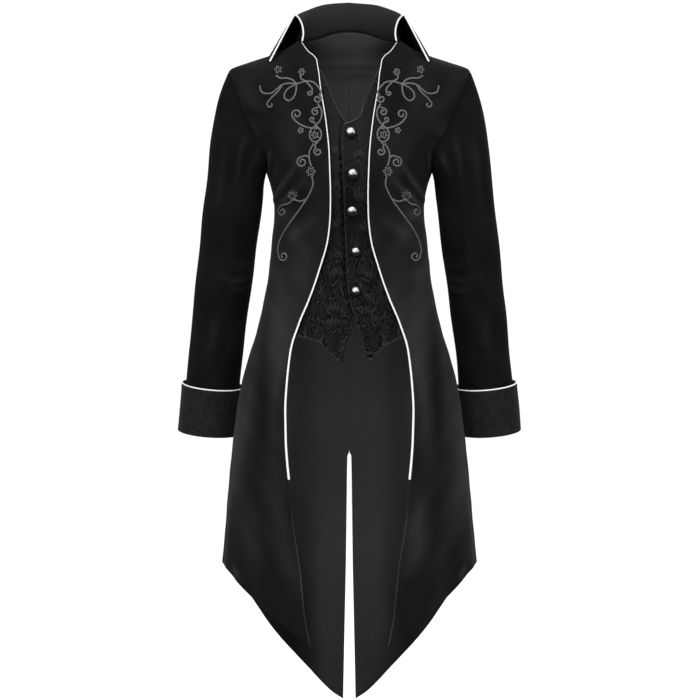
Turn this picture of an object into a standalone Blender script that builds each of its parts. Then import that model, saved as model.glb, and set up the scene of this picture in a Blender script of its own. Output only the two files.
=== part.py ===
"""Frock coat with a cutaway front, pointed tails, deep cuffs and a waistcoat front sewn inside.

Metres, +Z up. The coat's front faces -Y and the wearer's left is at +X. The origin is the
middle of the neck at shoulder height, where the wearer's shoulders carry the coat. The cloth
keeps the hollow form that it has on a wearer. Every panel lies on one body surface, whose
horizontal rings are given in RINGS. A place on that surface is a turn (0 at the centre front,
1 at the side, 2 at the centre back) and a height.
"""

import math
from collections import namedtuple

import bpy
import numpy as np
from mathutils import Vector

COLLECTION = "frock_coat"
SEAM_GAP = 0.0003
SHOULDER_GAP = 0.0006

# Wall of each kind of cloth
VELVET_WALL = 0.0018
COLLAR_WALL = 0.0020
LINING_WALL = 0.0010
BROCADE_WALL = 0.0012
SEAM_BORDER = 0.0015
LINING_CLEAR = 0.0009
LINING_SHOULDER_DROP = 0.0022

# The coat's horizontal sections. Reaches are from the neck's middle; widest is where the ring
# is widest (forward is negative); a curve of 2 is an ellipse, less is leaner, more is boxier.
Ring = namedtuple("Ring", "height half_width front back widest front_curve back_curve")
RINGS = (
    Ring(0.060, 0.075, 0.063, 0.088, 0.000, 2.00, 2.10),
    Ring(0.040, 0.085, 0.068, 0.093, 0.000, 2.00, 2.10),
    Ring(0.024, 0.097, 0.072, 0.097, 0.000, 1.95, 1.90),
    Ring(0.003, 0.1366, 0.082, 0.104, 0.000, 1.55, 1.65),
    Ring(-0.010, 0.176, 0.088, 0.107, 0.000, 1.40, 1.55),
    Ring(-0.018, 0.201, 0.092, 0.110, 0.000, 1.35, 1.50),
    Ring(-0.024, 0.2135, 0.095, 0.111, 0.000, 1.35, 1.50),
    Ring(-0.030, 0.2155, 0.097, 0.113, 0.000, 1.35, 1.50),
    Ring(-0.060, 0.2125, 0.107, 0.118, 0.000, 1.50, 1.60),
    Ring(-0.090, 0.2045, 0.115, 0.121, 0.000, 1.65, 1.75),
    Ring(-0.120, 0.1925, 0.121, 0.123, 0.000, 1.80, 1.90),
    Ring(-0.146, 0.182, 0.126, 0.124, 0.000, 1.90, 2.00),
    Ring(-0.170, 0.167, 0.130, 0.123, 0.000, 2.00, 2.05),
    Ring(-0.190, 0.1555, 0.132, 0.121, 0.000, 2.10, 2.10),
    Ring(-0.209, 0.148, 0.133, 0.118, 0.000, 2.20, 2.20),
    Ring(-0.235, 0.1395, 0.131, 0.112, 0.000, 2.25, 2.25),
    Ring(-0.262, 0.1346, 0.1255, 0.105, 0.000, 2.30, 2.30),
    Ring(-0.291, 0.1356, 0.1205, 0.099, 0.000, 2.30, 2.30),
    Ring(-0.325, 0.1395, 0.1175, 0.098, 0.000, 2.30, 2.30),
    Ring(-0.391, 0.1450, 0.119, 0.106, -0.001, 2.30, 2.25),
    Ring(-0.485, 0.1653, 0.128, 0.122, -0.006, 2.20, 2.20),
    Ring(-0.567, 0.1885, 0.138, 0.138, -0.016, 2.15, 2.15),
    Ring(-0.676, 0.2081, 0.149, 0.153, -0.024, 2.10, 2.10),
    Ring(-0.759, 0.2155, 0.156, 0.163, -0.024, 2.10, 2.10),
    Ring(-0.904, 0.2296, 0.165, 0.177, -0.018, 2.10, 2.10),
    Ring(-1.060, 0.236, 0.172, 0.188, -0.012, 2.10, 2.10),
    Ring(-1.220, 0.240, 0.178, 0.196, -0.010, 2.10, 2.10),
)

# Soft flutes of the skirt. Each grows from nothing at its start to its full depth at the hem.
Flute = namedtuple("Flute", "turn spread depth start")
FLUTES = (
    Flute(0.56, 0.12, -0.005, -0.45),
    Flute(0.76, 0.12, 0.005, -0.45),
    Flute(1.16, 0.14, -0.007, -0.42),
    Flute(1.40, 0.14, 0.010, -0.40),
    Flute(1.62, 0.13, -0.008, -0.42),
    Flute(1.82, 0.14, 0.007, -0.45),
)
FLUTE_FULL = -1.05
FLUTE_MOST = 1.2
FLUTE_LEAST_ARM = 0.02

# Short steps round and up the surface, over which its directions are measured
TURN_STEP = 0.004
HEIGHT_STEP = 0.001

# Heights where the seams meet
NECK_AT_SHOULDER = 0.028
NECK_AT_BACK = 0.0506
SHOULDER_TIP = -0.0255
UNDERARM = -0.2085
SIDE_HEM = -0.9045

# Armhole, from the shoulder tip down to the underarm: height, reach forward, reach back
ARMHOLE = (
    (SHOULDER_TIP, 0.000, 0.000),
    (-0.034, 0.014, 0.017),
    (-0.060, 0.0275, 0.034),
    (-0.090, 0.038, 0.046),
    (-0.120, 0.0455, 0.054),
    (-0.148, 0.053, 0.058),
    (-0.168, 0.056, 0.056),
    (-0.188, 0.047, 0.046),
    (-0.202, 0.028, 0.027),
    (UNDERARM, 0.000, 0.000),
)

# The cloth's front edge, from the collar's notch down to the hem: from the centre line, height
FRONT_EDGE = (
    (0.0862, 0.0234),
    (0.0716, 0.0035),
    (0.0645, -0.002),
    (0.0592, -0.0095),
    (0.0572, -0.020),
    (0.0548, -0.034),
    (0.0520, -0.059),
    (0.0434, -0.112),
    (0.0377, -0.162),
    (0.0356, -0.205),
    (0.0348, -0.248),
    (0.0358, -0.293),
    (0.0410, -0.333),
    (0.0519, -0.370),
    (0.0698, -0.423),
    (0.0911, -0.474),
    (0.1034, -0.512),
    (0.1100, -0.557),
    (0.1149, -0.616),
    (0.1145, -0.662),
    (0.1127, -0.702),
    (0.1085, -0.748),
    (0.1004, -0.812),
    (0.0855, -0.910),
    (0.0770, -0.991),
    (0.0683, -1.038),
)

# Distances along that edge to the lapel's corner and to the level of the underarm, and the
# height where its piping ends
EDGE_TO_CORNER = 0.042
EDGE_TO_UNDERARM = 0.285
CORD_END = -0.760

# Hem of a front and of a back, from the side seam inwards: from the centre line, height
FRONT_HEM = (
    (0.2296, SIDE_HEM),
    (0.2125, -0.919),
    (0.1970, -0.936),
    (0.1600, -0.969),
    (0.1215, -0.999),
    (0.0935, -1.020),
    (0.0683, -1.038),
)
BACK_HEM = (
    (0.2296, SIDE_HEM),
    (0.2165, -0.931),
    (0.2020, -0.957),
    (0.1865, -0.982),
    (0.1718, -1.006),
    (0.1505, -1.040),
    (0.1262, -1.073),
    (0.1005, -1.106),
    (0.0757, -1.135),
    (0.0515, -1.161),
    (0.0310, -1.180),
    (0.0118, -1.193),
)
CENTRE_AT_UNDERARM = -0.262

# Neck seam of a back, from the shoulder seam to the centre back: turn, height
BACK_NECK = (
    (1.00, NECK_AT_SHOULDER),
    (1.30, 0.0300),
    (1.55, 0.0370),
    (1.80, 0.0475),
    (2.00, NECK_AT_BACK),
)

# Vent between the tails: height, half width
VENT_TOP = -0.722
VENT = (
    (VENT_TOP, 0.0000),
    (-0.732, 0.0050),
    (-0.930, 0.0068),
    (-1.193, 0.0118),
)

# Rows and columns of the panels' grids
NECK_ROWS = 3
CORNER_ROWS = 3
CHEST_ROWS = 4
SKIRT_ROWS = 21
SKIRT_CROWDING = 1.15
FRONT_COLUMNS = 9
NECK_COLUMNS = 6
SHOULDER_COLUMNS = 4
SHOULDER_SAMPLES = 24
TOP_FADE = 6
BOTTOM_FADE = 3

# Sleeve sections below the armhole: height, centre out, centre back, half width, half depth
Section = namedtuple("Section", "height out back half_width half_depth")
SLEEVE = (
    Section(-0.250, 0.2070, 0.004, 0.0520, 0.0660),
    Section(-0.310, 0.2145, 0.009, 0.0518, 0.0645),
    Section(-0.364, 0.2211, 0.015, 0.0513, 0.0630),
    Section(-0.430, 0.2295, 0.023, 0.0502, 0.0610),
    Section(-0.500, 0.2380, 0.032, 0.0492, 0.0590),
    Section(-0.579, 0.2465, 0.042, 0.0486, 0.0575),
    Section(-0.640, 0.2520, 0.048, 0.0500, 0.0585),
    Section(-0.6765, 0.2551, 0.051, 0.0551, 0.0632),
)

# How the sleeve leaves the armhole, as shares of the distance to its first section. It leaves
# further outwards and less steeply at the armhole's front and back than on top and below.
CAP_ROWS = 6
CAP_FIRST_ROW = 0.012
CAP_OUT = 0.35
CAP_OUT_TOP = 0.10
CAP_OUT_SIDE = 0.40
CAP_FORWARD = 0.50
CAP_DOWN = 0.93
CAP_DOWN_SIDE = 0.48

CUFF = (
    Section(-0.5935, 0.2478, 0.0435, 0.0566, 0.0645),
    Section(-0.6350, 0.2517, 0.0473, 0.0570, 0.0650),
    Section(-0.6775, 0.2552, 0.0512, 0.0574, 0.0655),
)

# Collar, from its front end to the centre back. Share is along the neck seam. The fold and the
# fall's lower edge are places on the wearer's left; roll is how roundly the collar folds over.
Fold = namedtuple("Fold", "share out back height roll")
COLLAR_FOLD = (
    Fold(0.00, 0.0975, -0.032, 0.0712, 0.002),
    Fold(0.28, 0.0940, 0.010, 0.0735, 0.005),
    Fold(0.52, 0.0820, 0.053, 0.0830, 0.008),
    Fold(0.76, 0.0490, 0.088, 0.0962, 0.011),
    Fold(1.00, 0.0000, 0.101, 0.1022, 0.013),
)
Fall = namedtuple("Fall", "share turn height clear")
COLLAR_FALL = (
    Fall(0.00, 0.606, -0.0145, 0.0030),
    Fall(0.28, 1.000, 0.0138, 0.0049),
    Fall(0.52, 1.400, 0.0172, 0.0063),
    Fall(0.76, 1.700, 0.0270, 0.0060),
    Fall(1.00, 2.000, 0.0310, 0.0070),
)
STAND_LEAN_IN = 0.010
STAND_RISE = 0.020
STAND_ROLL = 0.013
FALL_BULGE = 0.25
FALL_REACH = 0.35
STAND_ROWS = 4
FALL_ROWS = 6

# Piping: half thickness of the cord at the neck, at its lower end, and on cuffs and collar
CORD_AT_NECK = 0.0013
CORD_AT_END = 0.0024
CORD_SMALL = 0.0014
CORD_SIDES_LEVEL = 2

# Waistcoat edges: from the centre line towards the panel's own side, height
WAISTCOAT_LEFT = {
    "neck": ((-0.0102, -0.122), (0.0023, -0.118), (0.0100, -0.115), (0.0189, -0.109),
             (0.0256, -0.087), (0.0333, -0.067), (0.0423, -0.047), (0.0492, -0.026),
             (0.0600, -0.024), (0.0800, -0.034)),
    "lap": ((-0.0102, -0.122), (-0.0131, -0.135), (-0.0119, -0.205), (-0.0095, -0.278),
            (-0.0065, -0.348), (-0.0023, -0.418), (0.0038, -0.447), (0.0138, -0.473),
            (0.0222, -0.507), (0.0358, -0.541)),
    "hem": ((0.0358, -0.541), (0.0475, -0.527), (0.0632, -0.513), (0.0769, -0.506),
            (0.0890, -0.500), (0.1100, -0.490), (0.1330, -0.478)),
    "seam": ((0.0800, -0.034), (0.0830, -0.080), (0.0810, -0.135), (0.0770, -0.205),
             (0.0790, -0.290), (0.0870, -0.345), (0.1050, -0.400), (0.1330, -0.478)),
    "depth": 0.0062,
}
WAISTCOAT_RIGHT = {
    "neck": ((-0.0117, -0.146), (-0.0060, -0.136), (0.0066, -0.118), (0.0177, -0.101),
             (0.0300, -0.076), (0.0421, -0.041), (0.0500, -0.018), (0.0600, -0.022),
             (0.0800, -0.034)),
    "lap": ((-0.0117, -0.146), (-0.0117, -0.205), (-0.0117, -0.290), (-0.0100, -0.400),
            (-0.0091, -0.449), (-0.0065, -0.477), (-0.0002, -0.494), (0.0040, -0.508),
            (0.0061, -0.524), (0.0134, -0.546)),
    "hem": ((0.0134, -0.546), (0.0261, -0.530), (0.0408, -0.519), (0.0515, -0.508),
            (0.0724, -0.501), (0.0932, -0.496), (0.1130, -0.488), (0.1330, -0.478)),
    "seam": ((0.0800, -0.034), (0.0830, -0.080), (0.0810, -0.135), (0.0770, -0.205),
             (0.0790, -0.290), (0.0870, -0.345), (0.1050, -0.400), (0.1330, -0.478)),
    "depth": 0.0087,
}
WAISTCOAT_SEAM_DEPTH = 0.0041
WAISTCOAT_RISE_FROM = 0.82
WAISTCOAT_COLUMNS = 10
WAISTCOAT_ROWS = 13

# Buttons down the left waistcoat front: from the centre line, height, half width
BUTTONS = (
    (0.0032, -0.138, 0.0104),
    (0.0065, -0.212, 0.0104),
    (0.0051, -0.278, 0.0104),
    (0.0116, -0.348, 0.0094),
    (0.0116, -0.417, 0.0094),
)
BUTTON_RISE = 0.0078
BUTTON_RIM = 0.0018
BUTTON_FOOT = 0.9
BUTTON_MERGE = 0.00001
BUTTON_STEPS = 16
BUTTON_ARC_STEPS = 4

# Colours as linear RGB, roughness, metallic
MATERIALS = {
    "velvet": ((0.0130, 0.0130, 0.0135), 0.90, 0.0),
    "brocade": ((0.0160, 0.0160, 0.0165), 0.55, 0.0),
    "satin": ((0.0230, 0.0230, 0.0240), 0.40, 0.0),
    "cord": ((0.7200, 0.7200, 0.7100), 0.45, 0.0),
    "metal": ((0.2600, 0.2600, 0.2700), 0.25, 1.0),
}


def clear_scene():
    """Remove every object that the scene starts with."""
    for item in list(bpy.data.objects):
        bpy.data.objects.remove(item, do_unlink=True)


class Curve:
    """Smooth curve through the rows of a table, whose first column says where each row is."""

    def __init__(self, rows):
        table = np.array(sorted(tuple(row) for row in rows), dtype=float)
        self.at = table[:, 0]
        self.values = table[:, 1:]
        step = np.diff(self.at)[:, None]
        rise = np.diff(self.values, axis=0) / step
        inner = (rise[:-1] * step[1:] + rise[1:] * step[:-1]) / (step[:-1] + step[1:])
        self.slope = np.vstack([rise[:1], inner, rise[-1:]])

    def __call__(self, at):
        at = np.clip(np.asarray(at, dtype=float), self.at[0], self.at[-1])
        low = np.clip(np.searchsorted(self.at, at) - 1, 0, len(self.at) - 2)
        span = (self.at[low + 1] - self.at[low])[..., None]
        t = (at[..., None] - self.at[low][..., None]) / span
        start = self.values[low] * (1 + 2 * t) * (1 - t) ** 2
        end = self.values[low + 1] * t ** 2 * (3 - 2 * t)
        lean = span * t * (1 - t) * (self.slope[low] * (1 - t) - self.slope[low + 1] * t)
        return start + end + lean


class Path:
    """Smooth line through a few places, read by the distance along it."""

    def __init__(self, places):
        places = np.array(places, dtype=float)
        steps = np.linalg.norm(np.diff(places, axis=0), axis=1)
        self.stops = np.concatenate([[0.0], np.cumsum(steps)])
        self.length = self.stops[-1]
        self.curve = Curve(np.column_stack([self.stops, places]))

    def __call__(self, distance):
        return self.curve(distance)

    def even(self, count):
        """Places that split the line into count equal steps."""
        return self(np.linspace(0.0, self.length, count + 1))


RING_CURVE = Curve(RINGS)


def flute(turn, height):
    """How far the skirt's flutes push the surface out at each place."""
    push = np.zeros(np.broadcast(turn, height).shape)
    for fold in FLUTES:
        across = np.clip(np.abs(turn - fold.turn) / fold.spread, 0.0, 1.0)
        down = np.clip((fold.start - height) / (fold.start - FLUTE_FULL), 0.0, FLUTE_MOST)
        push = push + fold.depth * 0.5 * (1 + np.cos(math.pi * across)) * down
    return push


def ring_point(turn, height):
    """Point of the body surface: an oval ring whose front and back halves differ."""
    turn = np.asarray(turn, dtype=float)
    height = np.asarray(height, dtype=float)
    half_width, front, back, widest, front_curve, back_curve = np.moveaxis(
        RING_CURVE(height), -1, 0)
    angle = turn * math.pi / 2
    forward = turn < 1.0
    curve = np.where(forward, front_curve, back_curve)
    reach = np.where(forward, front + widest, back - widest)
    side = np.sin(angle)
    x = half_width * np.sign(side) * np.abs(side) ** (2 / curve)
    y = widest - reach * np.cos(angle)
    push = flute(turn, height) / np.maximum(np.hypot(x, y - widest), FLUTE_LEAST_ARM)
    x = x * (1 + push)
    y = widest + (y - widest) * (1 + push)
    return np.stack([x, y, np.broadcast_to(height, x.shape)], axis=-1)


def surface(turn, height, inward=0.0):
    """Points and outward normals of a layer that lies inward of the coat's outer surface."""
    turn = np.asarray(turn, dtype=float)
    height = np.asarray(height, dtype=float)
    around = ring_point(turn + TURN_STEP, height) - ring_point(turn - TURN_STEP, height)
    upward = ring_point(turn, height + HEIGHT_STEP) - ring_point(turn, height - HEIGHT_STEP)
    normal = np.cross(around, upward)
    normal = normal / np.linalg.norm(normal, axis=-1, keepdims=True)
    return ring_point(turn, height) - normal * np.asarray(inward)[..., None], normal


def turn_at_side_reach(reach, height, back=False):
    """Turn of the place on a ring that lies this far in front of, or behind, the neck."""
    ring = Ring(height, *RING_CURVE(height))
    if back:
        return 1 + math.asin((reach - ring.widest) / (ring.back - ring.widest)) * 2 / math.pi
    share = min(1.0, (reach + ring.widest) / (ring.front + ring.widest))
    return math.acos(share) * 2 / math.pi


def turn_at_width(width, height, back=False):
    """Turn of the place on a ring that lies this far from the centre line."""
    ring = Ring(height, *RING_CURVE(height))
    curve = ring.back_curve if back else ring.front_curve
    share = min(1.0, abs(width) / ring.half_width)
    turn = math.asin(share ** (curve / 2)) * 2 / math.pi
    turn = math.copysign(turn, width)
    return 2 - turn if back else turn


def to_turns(places, back=False):
    """Change places (from the centre line, height) into (turn, height)."""
    return np.array([(turn_at_width(x, z, back), z) for x, z in places])


def armhole_places(back=False):
    """Places (turn, height) down the front or back half of the armhole, one for each row."""
    column = 2 if back else 1
    line = Path([(row[column], row[0]) for row in ARMHOLE])
    rows = NECK_ROWS + CORNER_ROWS + CHEST_ROWS
    places = [(turn_at_side_reach(reach, height, back), height)
              for reach, height in line.even(rows)]
    places[0] = (1.0, SHOULDER_TIP)
    places[-1] = (1.0, UNDERARM)
    return np.array(places)


def skirt_shares():
    """How far down each row below the underarm lies, closer together at the waist."""
    return np.linspace(0.0, 1.0, SKIRT_ROWS + 1)[1:] ** SKIRT_CROWDING


def shoulder_heights(columns):
    """Heights of even steps along the shoulder seam, from its tip up to the neck."""
    heights = np.linspace(SHOULDER_TIP, NECK_AT_SHOULDER, SHOULDER_SAMPLES)
    line = Path(np.column_stack([RING_CURVE(heights)[:, 0], heights]))
    return line.even(columns)[:, 1]


def outer_boundary(back=False):
    """Armhole and side seam of a panel, as places (turn, height) from the shoulder tip down."""
    heights = UNDERARM + (SIDE_HEM - UNDERARM) * skirt_shares()
    seam = np.column_stack([np.ones_like(heights), heights])
    return np.vstack([armhole_places(back), seam])


def blend_patch(left, right, top, bottom):
    """Grid of places between four boundary lines, with rows from top to bottom."""
    v = np.linspace(0.0, 1.0, len(left))[:, None, None]
    u = np.linspace(0.0, 1.0, len(top))[None, :, None]
    across = (1 - u) * left[:, None, :] + u * right[:, None, :]
    from_top = (1 - v) ** TOP_FADE * (top[None, :, :] - across[:1])
    from_bottom = v ** BOTTOM_FADE * (bottom[None, :, :] - across[-1:])
    return across + from_top + from_bottom


def add_border(grid, edge):
    """Add a narrow strip inside one edge, so that the wall there stands square to the cloth."""
    points, _ = surface(grid[..., 0], grid[..., 1])
    if edge in ("left", "right"):
        outer, inner = (0, 1) if edge == "left" else (-1, -2)
        gap = np.linalg.norm(points[:, outer] - points[:, inner], axis=-1)
        share = (SEAM_BORDER / np.maximum(gap, 2 * SEAM_BORDER))[:, None]
        strip = grid[:, outer] + (grid[:, inner] - grid[:, outer]) * share
        at = 1 if edge == "left" else grid.shape[1] - 1
        return np.insert(grid, at, strip, axis=1)
    gap = np.linalg.norm(points[0] - points[1], axis=-1)
    share = (SEAM_BORDER / np.maximum(gap, 2 * SEAM_BORDER))[:, None]
    strip = grid[0] + (grid[1] - grid[0]) * share
    return np.insert(grid, 1, strip, axis=0)


def part_seam(grid, edge, towards, gap=SEAM_GAP):
    """Move one edge of a grid of places half a gap towards a smaller or larger turn."""
    index = {"left": np.s_[:, 0], "right": np.s_[:, -1], "top": np.s_[0, :]}[edge]
    places = grid[index]
    ahead, _ = surface(places[:, 0] + TURN_STEP, places[:, 1])
    behind, _ = surface(places[:, 0] - TURN_STEP, places[:, 1])
    per_turn = np.linalg.norm(ahead - behind, axis=-1) / (2 * TURN_STEP)
    places[:, 0] += towards * gap / 2 / per_turn


def front_boundary():
    """Neck seam and front edge of a front, as places (turn, height) from the shoulder down."""
    notch_turn = turn_at_width(*FRONT_EDGE[0])
    neck = np.column_stack([
        np.linspace(1.0, notch_turn, NECK_ROWS + 1)[:-1],
        np.linspace(NECK_AT_SHOULDER, FRONT_EDGE[0][1], NECK_ROWS + 1)[:-1]])
    edge = Path(FRONT_EDGE)
    stops = np.concatenate([
        np.linspace(0.0, EDGE_TO_CORNER, CORNER_ROWS + 1),
        np.linspace(EDGE_TO_CORNER, EDGE_TO_UNDERARM, CHEST_ROWS + 1)[1:],
        EDGE_TO_UNDERARM + (edge.length - EDGE_TO_UNDERARM) * skirt_shares()])
    return np.vstack([neck, to_turns(edge(stops))])


def front_grid():
    """Grid of places of a front, from its edge at the left to the armhole and side seam."""
    left = front_boundary()
    right = outer_boundary()
    shoulder = shoulder_heights(FRONT_COLUMNS)[::-1]
    top = np.column_stack([np.ones_like(shoulder), shoulder])
    bottom = to_turns(Path(FRONT_HEM).even(FRONT_COLUMNS))[::-1]
    bottom[-1] = right[-1]
    grid = blend_patch(left, right, top, bottom)
    part_seam(grid, "top", -1, SHOULDER_GAP)
    part_seam(grid[-(SKIRT_ROWS + 1):], "right", -1)
    return add_border(add_border(grid, "right"), "top")


def back_centre():
    """Centre-back seam and vent edge, as places (turn, height) from the neck down."""
    chest_rows = NECK_ROWS + CORNER_ROWS + CHEST_ROWS
    tip_height = BACK_HEM[-1][1]
    above = np.linspace(NECK_AT_BACK, CENTRE_AT_UNDERARM, chest_rows + 1)
    below = CENTRE_AT_UNDERARM + (tip_height - CENTRE_AT_UNDERARM) * skirt_shares()
    heights = np.concatenate([above, below])
    heights[np.abs(heights - VENT_TOP).argmin()] = VENT_TOP
    vent = np.array(VENT)
    widths = np.interp(-heights, -vent[:, 0], vent[:, 1])
    return to_turns(np.column_stack([widths, heights]), back=True)


def back_grid():
    """Grid of places of a back, from the armhole and side seam to the centre back."""
    centre = back_centre()
    side = outer_boundary(back=True)
    neck = Path(BACK_NECK).even(NECK_COLUMNS)
    shoulder = shoulder_heights(SHOULDER_COLUMNS)[:-1]
    top = np.vstack([np.column_stack([np.ones_like(shoulder), shoulder]), neck])
    bottom = to_turns(Path(BACK_HEM).even(NECK_COLUMNS + SHOULDER_COLUMNS), back=True)
    bottom[0] = side[-1]
    return blend_patch(side, centre, top, bottom)


def finished_back_grid():
    """The back's grid with its seams parted and narrow strips inside them."""
    grid = back_grid()
    part_seam(grid[:, :SHOULDER_COLUMNS + 1], "top", 1, SHOULDER_GAP)
    part_seam(grid[-(SKIRT_ROWS + 1):], "left", 1)
    part_seam(grid, "right", -1)
    return add_border(add_border(add_border(grid, "left"), "right"), "top")


def lining_points():
    """Points of the back's lining, which lies just inside the velvet."""
    grid = back_grid()
    part_seam(grid[-(SKIRT_ROWS + 1):], "left", 1)
    part_seam(grid, "right", -1)
    grid = add_border(grid, "right")
    points, _ = surface(grid[..., 0], grid[..., 1], inward=VELVET_WALL + LINING_CLEAR)
    above = np.linspace(1.0, 0.0, len(grid))[:, None] ** TOP_FADE
    points[..., 2] -= LINING_SHOULDER_DROP * above
    points[..., 0] = np.maximum(points[..., 0], SEAM_GAP / 2)
    return points


def grid_faces(rows, columns, closed=False):
    """Quads of a grid of points; a closed grid joins its last column to its first."""
    faces = []
    for row in range(rows - 1):
        for column in range(columns if closed else columns - 1):
            after = (column + 1) % columns
            faces.append((row * columns + column, (row + 1) * columns + column,
                          (row + 1) * columns + after, row * columns + after))
    return faces


def make_material(name):
    """Principled material for one finish of the coat."""
    found = bpy.data.materials.get(name)
    if found:
        return found
    colour, roughness, metallic = MATERIALS[name]
    material = bpy.data.materials.new(name)
    material.use_nodes = True
    shader = material.node_tree.nodes["Principled BSDF"]
    shader.inputs["Base Color"].default_value = (*colour, 1.0)
    shader.inputs["Roughness"].default_value = roughness
    shader.inputs["Metallic"].default_value = metallic
    material.diffuse_color = (*colour, 1.0)
    return material


def place_object(name, data, material):
    """Add an object to the coat's collection with its material."""
    item = bpy.data.objects.new(name, data)
    data.materials.append(make_material(material))
    bpy.data.collections[COLLECTION].objects.link(item)
    return item


def cloth(name, points, wall, material, side=1, closed=False, outward=True, offset=-1.0):
    """Cloth panel: a grid of points given its wall thickness, mirrored for the right side."""
    rows, columns, _ = points.shape
    vertices = points.reshape(-1, 3) * np.array([side, 1.0, 1.0])
    faces = grid_faces(rows, columns, closed)
    if (side > 0) != outward:
        faces = [face[::-1] for face in faces]
    mesh = bpy.data.meshes.new(name)
    mesh.from_pydata(vertices.tolist(), [], faces)
    mesh.shade_smooth()
    item = place_object(name, mesh, material)
    thicken = item.modifiers.new("wall", "SOLIDIFY")
    thicken.thickness = wall
    thicken.offset = offset
    return item


def cord(name, path, radii, side=1, closed=False):
    """Piping cord along a line of points, with a half thickness for each point."""
    curve = bpy.data.curves.new(name, "CURVE")
    curve.dimensions = "3D"
    curve.bevel_depth = 1.0
    curve.bevel_resolution = CORD_SIDES_LEVEL
    curve.use_fill_caps = True
    spline = curve.splines.new("POLY")
    spline.points.add(len(path) - 1)
    for point, place, radius in zip(spline.points, path, radii):
        point.co = (place[0] * side, place[1], place[2], 1.0)
        point.radius = radius
    spline.use_cyclic_u = closed
    return place_object(name, curve, "cord")


def sleeve_ring(section, axis, angles):
    """Oval ring of a sleeve, square to the arm."""
    centre = np.array([section.out, section.back, section.height])
    out = np.array([1.0, 0.0, 0.0]) - axis[0] * axis
    out = out / np.linalg.norm(out)
    back = np.cross(out, axis)
    return (centre + section.half_width * np.cos(angles)[:, None] * out
            - section.half_depth * np.sin(angles)[:, None] * back)


def arm_axis(sections, index):
    """Direction of the arm at one section, pointing at the hand."""
    before = sections[max(index - 1, 0)]
    after = sections[min(index + 1, len(sections) - 1)]
    step = np.array([after.out - before.out, after.back - before.back,
                     after.height - before.height])
    return step / np.linalg.norm(step)


def armhole_loop():
    """The sleeve's top edge: the armhole's points, a seam gap into the hole and outward."""
    front = armhole_places()
    back = armhole_places(back=True)
    places = np.vstack([front, back[-2:0:-1]])
    points, normals = surface(places[:, 0], places[:, 1])
    ahead = np.roll(points, -1, axis=0) - np.roll(points, 1, axis=0)
    into_hole = np.cross(normals, ahead)
    into_hole = into_hole / np.linalg.norm(into_hole, axis=1, keepdims=True)
    steps = np.linalg.norm(np.roll(points, -1, axis=0) - points, axis=1)
    half = len(front) - 1
    lengths = np.concatenate([
        [0.0], math.pi * np.cumsum(steps[:half]) / steps[:half].sum(),
        math.pi + math.pi * np.cumsum(steps[half:])[:-1] / steps[half:].sum()])
    under = np.clip(-np.cos(lengths), 0.0, 1.0)[:, None] ** 2
    return points + (into_hole + normals * (1 + 2 * under)) * SEAM_GAP, lengths


def sleeve_points():
    """Rows of points of the left sleeve, from the armhole to the wrist."""
    top, angles = armhole_loop()
    first = sleeve_ring(SLEEVE[0], arm_axis(SLEEVE, 0), angles)
    reach = np.linalg.norm(first - top, axis=1)[:, None]
    sideways = np.sin(angles)
    outward = CAP_OUT + CAP_OUT_TOP * np.cos(angles) + CAP_OUT_SIDE * sideways ** 2
    downward = CAP_DOWN - CAP_DOWN_SIDE * sideways ** 2
    start = np.column_stack([outward, -CAP_FORWARD * sideways, -downward]) * reach
    end = arm_axis(SLEEVE, 0) * reach
    rows = []
    shares = np.linspace(0.0, 1.0, CAP_ROWS + 1)[:-1]
    for t in np.insert(shares, 1, CAP_FIRST_ROW):
        rows.append(top * (1 + 2 * t) * (1 - t) ** 2 + first * t ** 2 * (3 - 2 * t)
                    + start * t * (1 - t) ** 2 - end * t ** 2 * (1 - t))
    for index, section in enumerate(SLEEVE):
        rows.append(sleeve_ring(section, arm_axis(SLEEVE, index), angles))
    return np.array(rows)


def cuff_points():
    """Rows of points of the left cuff."""
    _, angles = armhole_loop()
    return np.array([sleeve_ring(section, arm_axis(CUFF, index), angles)
                     for index, section in enumerate(CUFF)])


def neck_seam():
    """Places (turn, height) of the collar's seam, from the notch round to the centre back."""
    front = front_boundary()[:NECK_ROWS + 1][::-1]
    back = back_grid()[0, SHOULDER_COLUMNS + 1:]
    return np.vstack([front, back])


def bezier(a, b, c, d, t):
    """Points of a cubic curve from a to d."""
    t = t[:, None]
    return ((1 - t) ** 3 * a + 3 * t * (1 - t) ** 2 * b + 3 * t ** 2 * (1 - t) * c
            + t ** 3 * d)


def collar_half():
    """Sections of the collar from its left end to the centre back, each from seam to edge."""
    seam = neck_seam()
    points, normals = surface(seam[:, 0], seam[:, 1], inward=VELVET_WALL / 2)
    points = points + np.array([0.0, 0.0, SEAM_GAP + COLLAR_WALL / 3])
    steps = np.linalg.norm(np.diff(points, axis=0), axis=1)
    shares = np.concatenate([[0.0], np.cumsum(steps)]) / steps.sum()
    folds = Curve(COLLAR_FOLD)(shares)
    falls = Curve(COLLAR_FALL)(shares)
    edges, _ = surface(falls[:, 0], falls[:, 1], inward=-falls[:, 2])
    sections = []
    for base, normal, fold, edge in zip(points, normals, folds, edges):
        out = np.array([normal[0], normal[1], 0.0])
        out = out / np.linalg.norm(out)
        up = np.array([0.0, 0.0, 1.0])
        top, roll = fold[:3], fold[3]
        stand = bezier(base, base - out * STAND_LEAN_IN + up * STAND_RISE,
                       top - out * STAND_ROLL, top, np.linspace(0.0, 1.0, STAND_ROWS + 1))
        spring = edge + (top - edge) * FALL_REACH + out * roll * FALL_BULGE
        fall = bezier(top, top + out * roll, spring, edge,
                      np.linspace(0.0, 1.0, FALL_ROWS + 1)[1:])
        sections.append(np.vstack([stand, fall]))
    return np.array(sections)


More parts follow.
